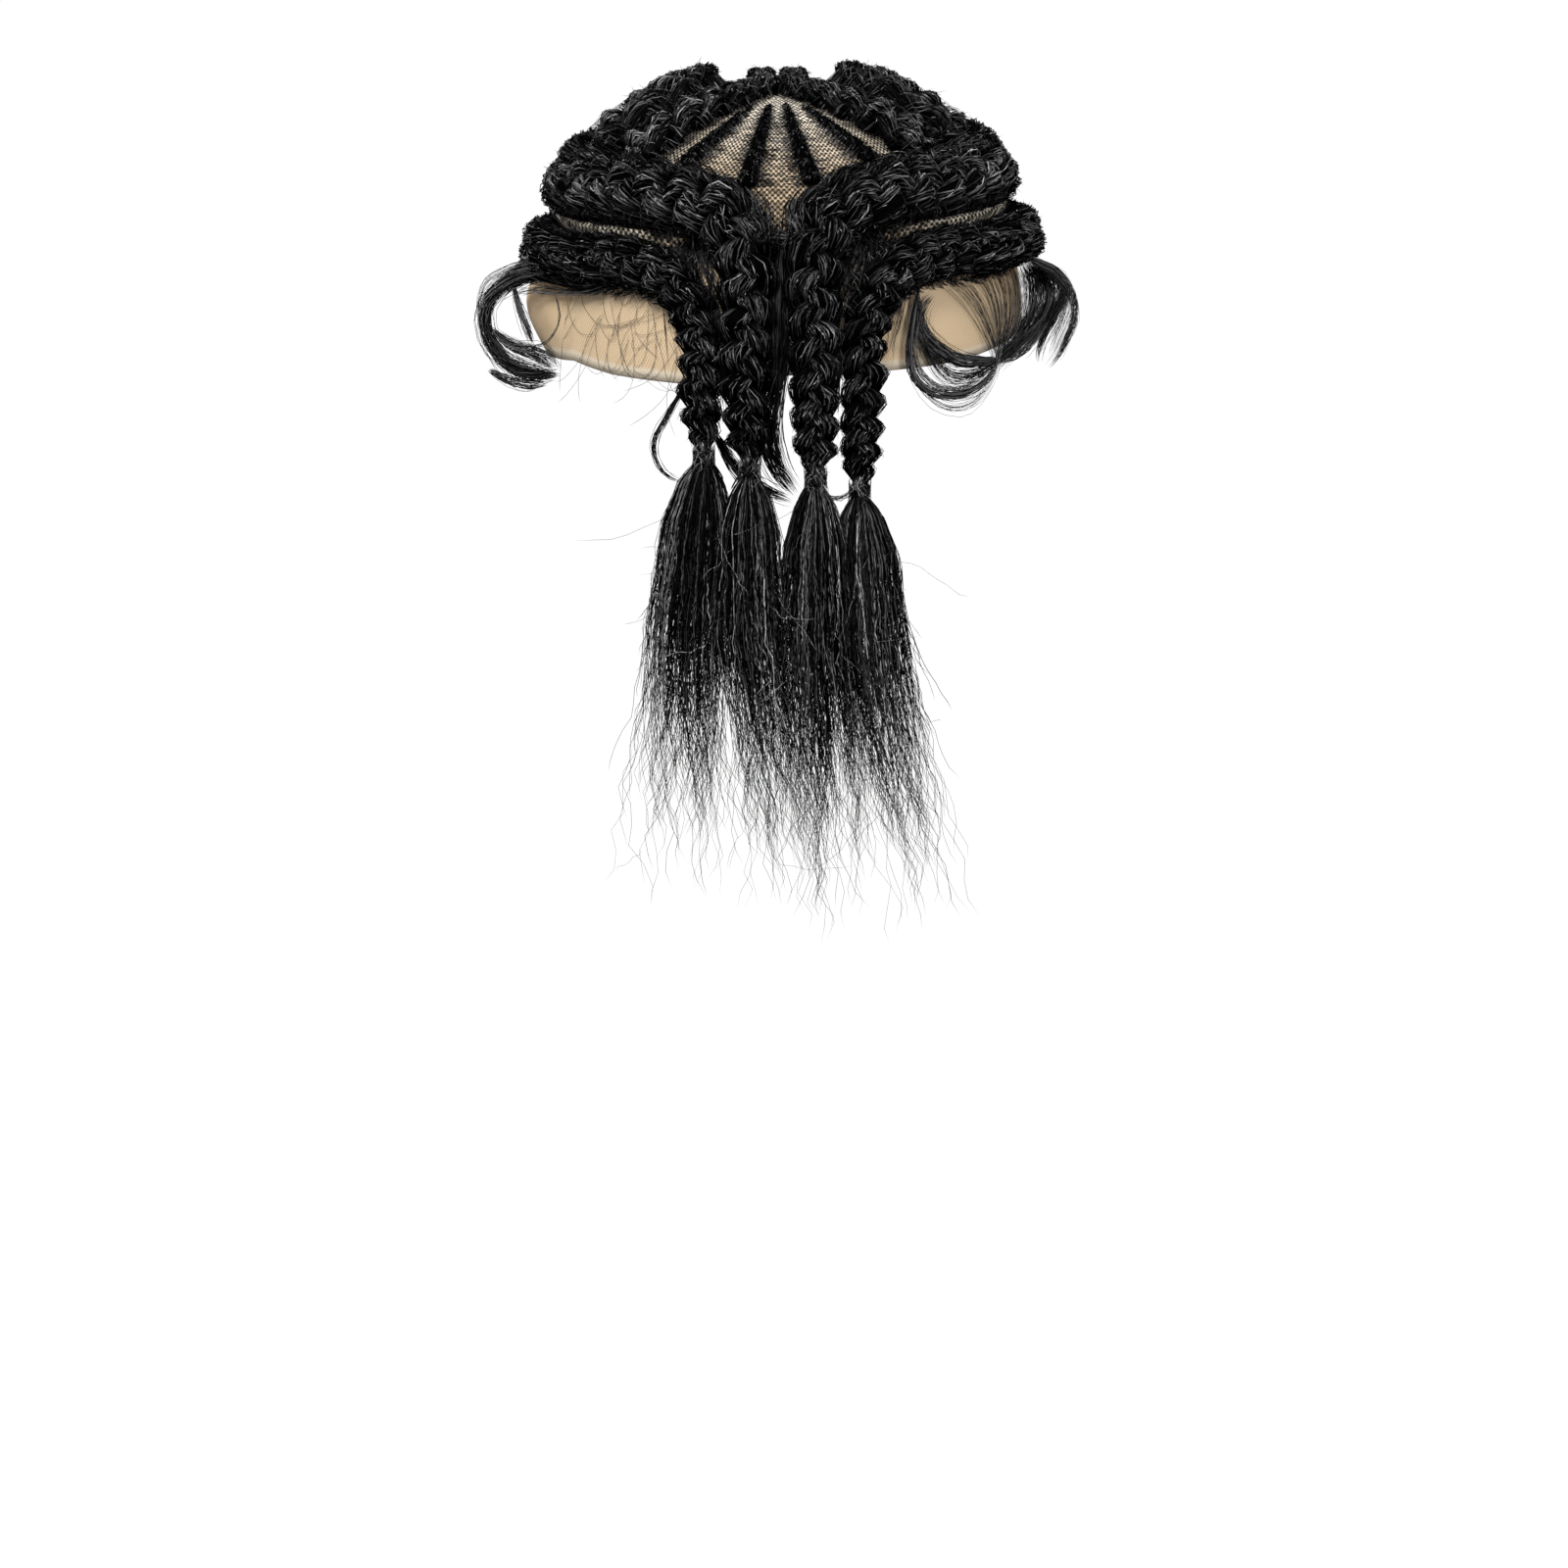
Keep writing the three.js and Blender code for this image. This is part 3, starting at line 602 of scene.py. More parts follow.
def plait_strand(hairs, row, number):
    """One strand of a row: a dark core, hairs over it where it shows, and short ends that stand off."""
    right, rise, size = row.strand(number)
    others = [row.strand((number + other) % 3) for other in (1, 2)]
    widest = row.half_width.max()
    small = min(1, widest / THIN_ROW)

    core = np.arange(2, len(row.at) - 2, max(2, round(widest * LOBE / CORE_RINGS / SAMPLE)))
    angle = 2 * math.pi * np.arange(STRAND_SIDES) / STRAND_SIDES
    inner = STRAND_CORE * size
    rim = [row.place(right + inner * np.cos(a), rise + inner * np.sin(a)) for a in angle]
    hairs.add_rods(np.stack(rim, 1)[core][None], row.place(right, rise)[[0, -1]][None], 0.0)

    count = round(2 * math.pi * STRAND_RADIUS * widest * STRAND_GIRTH / HAIR_SPACING)
    travel = row.at / (2 * widest)
    wander = chance.uniform(0, 2 * math.pi, (count, 1))
    turn = 2 * math.pi * (np.arange(count) + chance.random(count))[:, None] / count
    turn = turn + chance.normal(*HAIR_TWIST, (count, 1)) * travel + 0.3 * np.sin(travel * 1.7 + wander)
    reach = size * chance.uniform(*HAIR_DEPTHS, (count, 1))
    out, up = right + reach * np.cos(turn), rise + reach * np.sin(turn)
    seen = up * row.half_thick * (1 - row.neck) + row.neck * NECK_RADIUS > row.floor + 0.3
    for other_right, other_rise, other_size in others:
        seen &= np.hypot(out - other_right, up - other_rise) > HAIR_COVER * other_size
    seen |= row.neck > 0.6

    edge = np.diff(np.pad(seen.astype(np.int8), ((0, 0), (1, 1))), axis=1)
    hair, first = np.nonzero(edge == 1)
    last = np.nonzero(edge == -1)[1] - 1
    spare = max(1, round(HAIR_TUCK * widest / SAMPLE))
    first = np.maximum(first - chance.integers(0, spare + 1, len(first)), 0)
    last = np.minimum(last + chance.integers(0, spare + 1, len(last)), len(row.at) - 1)
    steps = np.clip(np.round((last - first) * SAMPLE / HAIR_STEP), 2, HAIR_PIECES).astype(int)
    clump_tones = chance.random((count, HAIR_CLUMPS))
    kept = chance.random(len(first)) < 0.15 + 0.85 * row.half_width[(first + last) // 2] / widest
    thickness = HAIR_THICKNESS * (0.5 + 0.5 * np.minimum(row.half_width / WIDE_ROW, 1))
    for pieces in range(2, HAIR_PIECES + 1):
        chosen = np.flatnonzero((steps == pieces) & (last - first > 3) & kept)
        if not len(chosen):
            continue
        share = np.linspace(0, 1, pieces + 2)
        pick = np.round(first[chosen, None] + (last - first)[chosen, None] * share).astype(int)
        own = hair[chosen, None]
        swing = turn[own, pick] + chance.normal(0, 0.3, (len(chosen), 1)) * (2 * share - 1)
        size_here = reach[own, pick] * (0.92 + 0.14 * np.sin(math.pi * share))
        height = rise[pick] + size_here * np.sin(swing)
        lines = row.place(right[pick] + size_here * np.cos(swing), height, pick)
        away = lines - row.place(right[pick], rise[pick], pick)
        clump = clump_tones[own[:, 0] // 2, pick[:, 0] % HAIR_CLUMPS]
        tone = 0.5 * clump + 0.5 * chance.random(len(chosen))
        # Tones take painted shade in the hollows of the lobes
        hairs.add(lines, thickness[pick], tone * painted_hollow_shade(height.mean(1)) * small**0.5, away)

    loose = chance.choice(np.flatnonzero(seen), round(row.at[-1] * FUZZ_PER_MM / 3 * small))
    own, at = np.unravel_index(loose, seen.shape)
    at = np.clip(at, 3, len(row.at) - 4)
    root = row.place(out[own, at], up[own, at], at)
    ahead = unit(row.place(out[own, at + 3], up[own, at + 3], at + 3) - root)
    away = unit(root - row.place(right[at], rise[at], at))
    lift = chance.uniform(0, FUZZ_SPREAD, (len(loose), 1))
    curl = chance.normal(0, FUZZ_SPREAD, (len(loose), 1, 3))
    length = chance.uniform(*FUZZ_LENGTHS, (len(loose), 1, 1)) * small
    share = np.linspace(0, 1, 3)[:, None]
    heading = unit(ahead + away * lift + chance.normal(0, FUZZ_SPREAD, root.shape))[:, None]
    lines = root[:, None] + length * (heading * share + curl * share**2)
    # The loose ends take painted shade in the hollows too
    tone = chance.random(len(loose)) * painted_hollow_shade(up[own, at])
    hairs.add(lines, FUZZ_THICKNESS, tone, away[:, None])


def root_hairs(hairs, row, edge, reach, per_mm, run, into):
    """Hairs that come out of the lace beside a row and lie into it, on the side that `edge` gives."""
    count = round(per_mm * row.at[row.seats - 1])
    first = chance.integers(2, row.seats - 4, count)
    last = np.minimum(first + chance.uniform(*run, count) / SAMPLE, row.seats - 1)
    share = np.linspace(0, 1, ROOT_POINTS)
    pick = np.round(first[:, None] + (last - first)[:, None] * share).astype(int)
    reach = np.interp(first / row.seats, *np.array(reach).T)
    start = row.half_width[first] + reach * chance.random(count) ** 1.3
    finish = row.half_width[pick[:, -1]] * chance.uniform(*into, count)
    out = start[:, None] + (finish - start)[:, None] * ease(share)
    flat = onto_cap(row.base[pick] + row.across[pick] * (edge * out)[..., None], True)
    away = outward(flat)
    over = np.sqrt(np.clip(1 - (out / row.half_width[pick]) ** 2, 0, 1))
    lift = 0.3 + row.half_thick[pick] * (SEAT * ease(over * 1.6) + over)
    lift = lift + chance.uniform(0, 0.6, (count, 1)) * share
    lines = flat + away * lift[..., None] + chance.normal(0, 0.2, flat.shape) * share[:, None]
    hairs.add(lines, ROOT_THICKNESS, ROOT_TONE * chance.random(count), away)


for side, sign in SIDES.items():
    for name in ROWS:
        row = Row(name, side)
        hairs = Hairs()
        for number in range(3):
            plait_strand(hairs, row, number)
        for edge, roots in zip((-sign, sign), ROOTS[name]):
            root_hairs(hairs, row, edge, *roots)
        hairs.piece(f"{name}_hair_{side}", plaited_hair, "hair", f"{name}_{side}")

# Ties
# A black thread wound four times round the end of each hanging plait, pulled tight and knotted.
# Its three plies show as a fine twist, and its cut ends stand out at the knot.

TIE_RADIUS = 2.85
TIE_TURNS, TIE_STEPS = 4, 22  # turns of the thread, and points in each
THREAD_THICKNESS = 0.9
PLIES, PLY_TWISTS = 3, 7  # in the thread, and twists of them in one turn
PLY_OFFSET, PLY_THICKNESS = 0.3 * THREAD_THICKNESS, 0.7 * THREAD_THICKNESS
# Grey of the painted highlights on the black thread
THREAD_HIGHLIGHT_GREY = (0.05, 0.05, 0.055, 1)
tie_thread = hair_finish("tie_thread", THREAD_HIGHLIGHT_GREY, roughness=0.55, specks=60, speckle=0.3, crest_highlight=0)


def wound_tie(place):
    """The plies of one tie round its middle place."""
    hairs = Hairs()
    turns = np.linspace(0, TIE_TURNS, TIE_TURNS * TIE_STEPS)
    angle = 2 * math.pi * turns
    height = (turns / TIE_TURNS - 0.5) * (TIE_HEIGHT - THREAD_THICKNESS)
    for ply in range(PLIES):
        spin = angle * PLY_TWISTS + ply * 2 * math.pi / PLIES
        out = TIE_RADIUS + PLY_OFFSET * np.cos(spin)
        rise = height + PLY_OFFSET * np.sin(spin)
        line = place + np.stack([out * np.cos(angle), out * np.sin(angle), rise], 1)
        hairs.add(line[None], PLY_THICKNESS, 0.5)
    for _ in range(2):
        share = np.linspace(0, 1, 9)[:, None]
        side = chance.uniform(-1, 1)
        start = place + np.array([1.5 * side, -TIE_RADIUS - 0.2, chance.uniform(-1, 1)])
        heading = np.array([2.5 * side, -1.2, -1.5])
        line = start + heading * share * 2 + np.array([0, 0, -3.0]) * share**2
        hairs.add(line[None], PLY_THICKNESS, 0.6)
    return hairs


tie_places = {}
for plait in HANGS:
    for side in SIDES:
        end = Row(plait, side).middle[-1]
        tie_places[plait, side] = end
        tie = plait.replace("plait", "tie")
        wound_tie(end).piece(f"{tie}_thread_{side}", tie_thread, "thread", f"{tie}_{side}")

# Tails
# The hair left free below each tie: kinky strands of uneven length that spread out from the tie,
# hang close together at first, then part into thin locks and single hairs.

TAILS = {
    "inner_plait": {
        "left": {"length": 132, "spread": 4.6, "middle_sway": 0, "tip_sway": 12},
        "right": {"length": 138, "spread": 5, "middle_sway": -0.5, "tip_sway": 8},
    },
    "outer_plait": {
        "left": {"length": 134, "spread": 6.6, "middle_sway": -5, "tip_sway": -9},
        "right": {"length": 130, "spread": 5.5, "middle_sway": 4, "tip_sway": 20},
    },
}
TAIL_SHARES = [0, 0.05, 0.14, 0.4, 0.75, 1]
TAIL_OPEN = [0, 0.45, 0.8, 1, 1.08, 1.2]  # of the spread
TAIL_RADIUS = [1.6, 4.2, 6.4, 7.2, 6, 3]  # of the hair beyond the spread
TAIL_BACK = 0.5  # depth as a share of the width
TAIL_LEAN = 7  # how far the tips lean in under the cap
TAIL_HAIRS = 610
TAIL_POINTS = 21
TAIL_CLUMPS = 90  # round a tail, each with its own tone
TAIL_LOCKS, TAIL_PARTS = 11, 0.35  # thin locks, and the share of the length where they part
TAIL_THICKNESS = [0.34, 0.3, 0.22, 0.17, 0.13]  # of a hair, at each share of the length
TAIL_THICKNESS_AT = [0, 0.25, 0.5, 0.7, 1]
TAIL_STRAYS, STRAY_LENGTHS, STRAY_THICKNESS = 46, (8, 24), 0.13
TAIL_LOWEST = -262
TIE_FUZZ, TIE_FUZZ_THICKNESS = 70, 0.22  # short hairs over each tie
TAIL_LEFT = [0, 0.05, 0.18, 0.36, 0.6, 1]  # share of the hairs that still hang at each share of the length
TAIL_LEFT_AT = [1.08, 0.92, 0.78, 0.64, 0.5, 0.34]
# Grey of the painted highlights and glints on the tails
TAIL_HIGHLIGHT_GREY = (0.75, 0.75, 0.77, 1)
loose_hair = hair_finish("loose_hair", TAIL_HIGHLIGHT_GREY, roughness=0.38, specks=34, speckle=0.95, crest_highlight=0)


def tail_hairs(tail, top):
    """The hairs of one tail below the middle of its tie."""
    count = TAIL_HAIRS
    reach = np.interp(chance.random((count, 1)), TAIL_LEFT, TAIL_LEFT_AT)
    own = np.linspace(0, 1, TAIL_POINTS)
    share = reach * own**0.9
    opened = np.interp(share, TAIL_SHARES, TAIL_OPEN)
    radius = np.interp(share, TAIL_SHARES, TAIL_RADIUS)
    half_width = 0.9 * tail["spread"] * opened + radius
    half_depth = TAIL_BACK * tail["spread"] * 0.5 * opened + radius * 0.8
    angle = chance.uniform(0, 2 * math.pi, (count, 1))
    out = chance.random((count, 1)) ** 0.45
    right, back = out * np.cos(angle), out * np.sin(angle)

    lock_right = np.linspace(-0.95, 0.95, TAIL_LOCKS) + chance.normal(0, 0.07, TAIL_LOCKS)
    lock_drift = chance.normal(0, 3.6, (TAIL_LOCKS, 2))
    nearest = np.abs(right - lock_right).argmin(1)
    gather = ease((share - TAIL_PARTS) / 0.6) * chance.uniform(0.2, 1, (count, 1))
    right = right + (lock_right[nearest][:, None] - right) * gather
    drift = lock_drift[nearest][:, None] * (ease((share - TAIL_PARTS) / 0.8) ** 1.3)[..., None]

    sway = np.interp(share, [0, 0.4, 1], [0, tail["middle_sway"], tail["tip_sway"]])
    widen = chance.normal(0, 2, (count, 1)) * ease((share - 0.4) / 0.5)
    turns = tail["length"] / chance.uniform(16, 30, (count, 1))
    phase = chance.uniform(0, 1, TAIL_LOCKS)[nearest][:, None] + chance.normal(0, 0.12, (count, 1))
    wave = np.sin(2 * math.pi * (turns * share + phase)) * (0.2 + 1.3 * ease((share - TAIL_PARTS) / 0.5))
    x = right * half_width + sway + drift[..., 0] + widen + wave
    y = -back * half_depth + TAIL_LEAN * share**2 + drift[..., 1] * 0.5
    lines = top + np.stack([x, y, -2 * GAP - tail["length"] * share], -1)
    kink = 0.1 + 0.4 * ease(share / 0.3) + 0.25 * ease((share - 0.55) / 0.4)
    lines += chance.normal(0, 1, lines.shape) * kink[..., None] * np.array([0.62, 0.62, 0.3])
    bow = np.sin(math.pi * own * 1.6 + chance.uniform(0, 3, (count, 1)))[..., None]
    crossing = np.where(chance.random((count, 1)) < 0.2, 2.6, 0.8) * (1 + 2 * ease((share - 0.55) / 0.4))
    bow = chance.normal(0, 1, (count, 1, 3)) * bow
    lines += bow * (kink * crossing)[..., None] * np.array([1, 0.6, 0.1])
    stray = chance.normal(0, 1, (count, 1, 3)) * np.array([1, 0.6, 0.2])
    lines += stray * (own**3)[:, None] * np.where(chance.random(count) < 0.25, 6, 1.2)[:, None, None]
    thickness = np.interp(share, TAIL_THICKNESS_AT, TAIL_THICKNESS)
    away = np.stack([np.cos(angle), -np.sin(angle), 0 * angle], -1)
    clump = chance.random(TAIL_CLUMPS)[(angle[:, 0] / (2 * math.pi) * TAIL_CLUMPS).astype(int)]
    hairs = Hairs()
    hairs.add(lines, thickness, (0.15 + 0.85 * clump) * chance.random(count), away)

    at = chance.integers(2, TAIL_POINTS - 2, TAIL_STRAYS)
    root = lines[chance.integers(0, count, TAIL_STRAYS), at][:, None]
    heading = chance.normal(0, 1, root.shape) * np.array([0.4, 0.3, 0.25]) - np.array([0, 0, 0.7])
    curl = chance.normal(0, 1, root.shape) * np.array([0.5, 0.3, 0.35])
    own = np.linspace(0, 1, 11)[:, None]
    length = chance.uniform(*STRAY_LENGTHS, (TAIL_STRAYS, 1, 1))
    strays = root + length * (heading * own + curl * own**2)
    strays += np.cumsum(chance.normal(0, 0.5, strays.shape), axis=1)
    strays[..., 2] = np.maximum(strays[..., 2], TAIL_LOWEST)
    hairs.add(strays, STRAY_THICKNESS, chance.random(TAIL_STRAYS))

    angle = chance.uniform(0, 2 * math.pi, (TIE_FUZZ, 1))
    rise = np.linspace(-1, 1, 4) * chance.uniform(2.5, 4.5, (TIE_FUZZ, 1))
    rise = rise + chance.normal(0, 1, (TIE_FUZZ, 1))
    angle = angle + 0.5 * chance.normal(0, 1, (TIE_FUZZ, 4))
    out = TIE_RADIUS + 0.5 + 0.16 * np.abs(rise) * chance.random((TIE_FUZZ, 1))
    over = top + np.stack([out * np.cos(angle), out * np.sin(angle), rise], -1)
    hairs.add(over, TIE_FUZZ_THICKNESS, chance.random(TIE_FUZZ))
    return hairs


for (plait, side), end in tie_places.items():
    tail = plait.replace("plait", "tail")
    tail_hairs(TAILS[plait][side], end).piece(f"{tail}_hair_{side}", loose_hair, "hair", f"{tail}_{side}")

# Edge locks
# Short sleek hair at the side edges of the lace, combed forward from under the lowest row and set
# in curls. Each is a flat bundle of straight hairs that closes to a point or a brush of tips.

EDGE_LOCKS = {  # points, radius, number of hairs and thickness of each, the main lock first
    "edge_lock_left": [
        [[[-72, -42, -52.5], [-79.5, -30, -54.5], [-86, -22, -58], [-91, -16.5, -62.5], [-95, -13, -69],
          [-93.5, -12.5, -79.5], [-87.5, -15.5, -86.5], [-79, -22.5, -89], [-72, -32, -86.5]],
         2.6, 150, 0.28],
        [[[-54, -67.5, -53], [-59.5, -61, -55], [-66, -49.5, -55.5], [-73, -34, -55.8], [-79, -28, -56],
          [-85.5, -21.5, -59.5], [-91, -15, -65]], 3, 150, 0.26],
        [[[-52, -69, -50], [-59.5, -60, -52], [-67.5, -45.5, -52.5], [-75, -31, -53.5], [-81, -26, -54],
          [-88, -19, -59], [-93, -14, -66]], 2.8, 110, 0.26],
        [[[-85.5, -22, -60], [-83.5, -26, -67], [-81, -31, -72.5], [-78.5, -36, -78]], 1.4, 60, 0.22],
        [[[-72, -52, -57], [-70, -54, -66], [-73, -49, -73], [-78, -40, -77], [-85, -26, -77],
          [-92, -14, -74.5]], 0.5, 8, 0.16],
        [[[-92, -13, -76], [-85, -18, -80], [-78, -24, -80.5], [-72.5, -31, -83], [-70.5, -34, -86]],
         1.8, 40, 0.18],
        [[[-93, -13, -75], [-87, -17, -80], [-79, -23, -82.5], [-72.5, -31, -85.5]], 1.9, 50, 0.2],
        [[[-93, -13, -77], [-87.5, -16, -85], [-79, -23, -88], [-70.5, -33.5, -87]], 1.9, 90, 0.24],
        [[[-94, -12, -88.5], [-88, -16, -91], [-81, -21, -92], [-75, -27, -90.5]], 1.7, 50, 0.18],
        [[[-80, -28, -51.5], [-88, -18, -55.5], [-94.5, -13, -60], [-97, -11, -66.5], [-97, -11, -72],
          [-95, -11, -78.5]], 1.2, 18, 0.15],
    ],
    "edge_lock_right": [
        [[[41.5, -80.5, -54], [39.5, -84.5, -64], [38.5, -86, -72], [39.6, -85.4, -79.5], [44, -82, -85],
          [52.3, -74.2, -88], [60.1, -64.4, -87], [65.5, -56, -83], [67, -53, -78], [67, -53, -72]],
         1.4, 70, 0.22],
        [[[41.5, -81, -55.5], [39, -85.5, -70], [40, -85, -79], [45, -81, -87.5], [52, -74.5, -92],
          [59, -66, -91.5], [63.5, -59, -87.5], [66.5, -54, -82], [67, -53, -73]], 1.3, 16, 0.15],
        [[[43, -80, -57], [40.5, -84, -67], [40.5, -84.5, -76], [45, -81.5, -83], [52.5, -74, -86.5],
          [60, -64.5, -86], [66, -55, -81], [67, -53, -73]], 1.6, 24, 0.16],
    ],
    "edge_wisp_right": [
        [[[77, -35, -50], [85, -24.5, -55.5], [89.5, -18, -62], [87, -18, -68], [83.5, -20, -74],
          [81, -23, -79], [80, -26, -85]], 1.9, 120, 0.2],
        [[[77, -32, -50], [83.5, -24, -55], [86.5, -19, -62], [85, -19, -69], [82, -21, -75],
          [80, -25, -82]], 2.2, 70, 0.18],
        [[[80, -28, -51.5], [87.5, -20, -57], [91.5, -16, -65], [92, -15, -72], [90, -16, -77],
          [87.5, -19, -82], [83, -22.5, -87.5]], 1.5, 70, 0.18],
        [[[80, -28, -52], [88, -19, -59], [90, -17, -68], [87, -18, -76], [84, -21, -84]], 2.6, 40, 0.15],
    ],
}
LOCK_POINTS, LOCK_SPACING = 14, 0.8  # of a hair, and of the line of its lock
LOCK_FLATNESS = 0.8  # height as a share of the width
LOCK_LOOSE = 0.16  # share of the hairs that stray from their lock
# Grey of the painted highlights on the sleek locks and edge hair
SLEEK_HIGHLIGHT_GREY = (0.34, 0.34, 0.355, 1)
sleek_hair = hair_finish("sleek_hair", SLEEK_HIGHLIGHT_GREY, roughness=0.3, specks=9, speckle=0.3, crest_highlight=0.4)


def lock_hairs(hairs, points, radius, count, thickness):
    """Hairs in a bundle along a line of points, thickest at its middle, a few of them loose."""
    line, _, _ = smooth_line(points, LOCK_SPACING)
    along = unit(np.gradient(line, axis=0))
    away = outward(line)
    away = unit(away - along * (away * along).sum(1, keepdims=True))
    across = np.cross(away, along)
    first = chance.uniform(0, 0.05, (count, 1))
    last = chance.uniform(0.78, 1.0, (count, 1))
    share = first + (last - first) * np.linspace(0, 1, LOCK_POINTS)
    pick = np.round(share * (len(line) - 1)).astype(int)
    angle = chance.uniform(0, 2 * math.pi, (count, 1)) + chance.normal(0, 0.8, (count, 1)) * share
    out = np.sqrt(chance.random((count, 1))) * (1 + 1.8 * (chance.random((count, 1)) < LOCK_LOOSE) * share)
    size = radius * (0.3 + 0.7 * np.sin(math.pi * (share * 12 + 1) / 14))
    right = out * np.cos(angle) * size
    rise = out * np.sin(angle) * size * LOCK_FLATNESS
    places = line[pick] + across[pick] * right[..., None] + away[pick] * rise[..., None]
    places += chance.normal(0, 0.1, places.shape)
    hairs.add(places, thickness * (1 - 0.4 * share), chance.random(count), away[pick])


for name, locks in EDGE_LOCKS.items():
    hairs = Hairs()
    for lock in locks:
        lock_hairs(hairs, *lock)
    hairs.piece(f"{name}_hair", sleek_hair, "hair", name)

# Edge hair
# Fine hair knotted one by one into the lace under the lowest rows. On the right it is combed in a thin
# sheet towards one point and on into loops. On the left it lies short, with single hairs over the lace.


def swept(start, bend, end, points):
    """Curves from start past bend to end, each (hairs, any number of columns)."""
    share = np.linspace(0, 1, points)[:, None]
    start, bend, end = (np.asarray(places, float)[:, None] for places in (start, bend, end))
    return start * (1 - share) ** 2 + bend * 2 * share * (1 - share) + end * share**2


def on_lace(turn_fall, lift):
    """Places on the lace from turn and fall, lifted off it. Below its rim they go on straight down."""
    turn, fall = turn_fall[..., 0], turn_fall[..., 1]
    places = on_dome(turn, np.minimum(fall, 90), CAP_WALL + lift)
    places[..., 2] -= 1.5 * np.maximum(fall - 90, 0)
    return places


def spread(count, low, high):
    """Even random values between two rows of columns."""
    return chance.uniform(low, high, (count, len(low)))


SHEET_HAIRS, SIDE_HAIRS, SHEET_THICKNESS = 180, 170, 0.13
SHEET_SHARES = [0, 0.35, 0.62, 0.82, 1]  # from the back round to the side
SHEET_STARTS = [[47.5, -73.5, -54], [62.5, -52, -52.5], [73, -24, -53], [77.5, -20, -52], [79.5, -18, -52]]
SHEET_BENDS = [[58, -64.5, -61], [70, -43, -62], [79, -30, -67], [85, -22, -68], [94, -16, -67]]
KNOT = np.array([67, -52, -80])  # where the sheet is drawn together
LOOP_HAIRS, LOOP_THICKNESS = 60, 0.14  # from there on
LOOP_END = np.array([41.5, -82.5, -62.5])
BANDS = [  # dark locks on the lace: points, radius, number of hairs and thickness of each
    [[[67, -51, -80], [61, -61.5, -79], [53, -72, -76.5], [45, -80, -70], [42, -82, -65.5],
      [42, -81.5, -61], [43.5, -79.5, -58], [46.5, -76, -55.5]], 2.2, 120, 0.2],
    [[[80.5, -22, -55], [84.5, -17, -63], [83, -18.5, -70.5], [78.5, -27, -76.5], [73, -41, -79.5],
      [67, -52.5, -80]], 2.1, 90, 0.2],
    [[[41.5, -80, -52], [41, -82, -58], [43, -80.5, -65], [46.5, -77.5, -72]], 1.2, 30, 0.2],
]
right_hair = Hairs()
share = np.concatenate([chance.random(SHEET_HAIRS) ** 0.8, chance.uniform(0.72, 1, SIDE_HAIRS)])
start = np.stack([np.interp(share, SHEET_SHARES, column) for column in zip(*SHEET_STARTS)], 1)
bend = np.stack([np.interp(share, SHEET_SHARES, column) for column in zip(*SHEET_BENDS)], 1)
start += chance.normal(0, 0.7, start.shape)
bend += chance.normal(0, 0.8, bend.shape)
end = KNOT + chance.normal(0, 1, start.shape) * np.array([0.5, 0.7, 1.6])
right_hair.add(swept(start, bend, end, 10), SHEET_THICKNESS, chance.random(len(share)))
start = KNOT + chance.normal(0, 0.6, (LOOP_HAIRS, 3))
bend = spread(LOOP_HAIRS, (46, -80, -97), (49.5, -77, -87))
end = LOOP_END + chance.normal(0, 1, (LOOP_HAIRS, 3)) * np.array([0.4, 0.4, 3])
right_hair.add(swept(start, bend, end, 12), LOOP_THICKNESS, chance.random(LOOP_HAIRS))
for band in BANDS:
    lock_hairs(right_hair, *band)
right_hair.piece("edge_hair_right", sleek_hair, "hair")

SHORT_HAIRS, SHORT_THICKNESS = 420, 0.18
LACE_HAIRS, LACE_HAIR_THICKNESS = 46, 0.13
LACE_HAIRS_FROM, LACE_HAIRS_SPAN = -22, 44  # degrees round from the back, thinning out over the span
left_hair = Hairs()
start = spread(SHORT_HAIRS, (-92, 71.5), (-22, 74.5))
end = start + spread(SHORT_HAIRS, (-9, 0.5), (5, 5.5))
bend = (start + end) / 2 + chance.normal(0, 1, start.shape)
left_hair.add(on_lace(swept(start, bend, end, 5), 0.6), SHORT_THICKNESS, chance.random(SHORT_HAIRS))
start = spread(LACE_HAIRS, (-66, 74), (-24, 86))
start[:, 0] = LACE_HAIRS_FROM - (LACE_HAIRS_FROM - start[:, 0]) ** 1.5 / LACE_HAIRS_SPAN**0.5
bend = start + spread(LACE_HAIRS, (-16, 3), (8, 14))
end = bend + spread(LACE_HAIRS, (-16, -8), (12, 8))
left_hair.add(on_lace(swept(start, bend, end, 11), 0.5), LACE_HAIR_THICKNESS, chance.random(LACE_HAIRS))
left_hair.piece("edge_hair_left", sleek_hair, "hair")
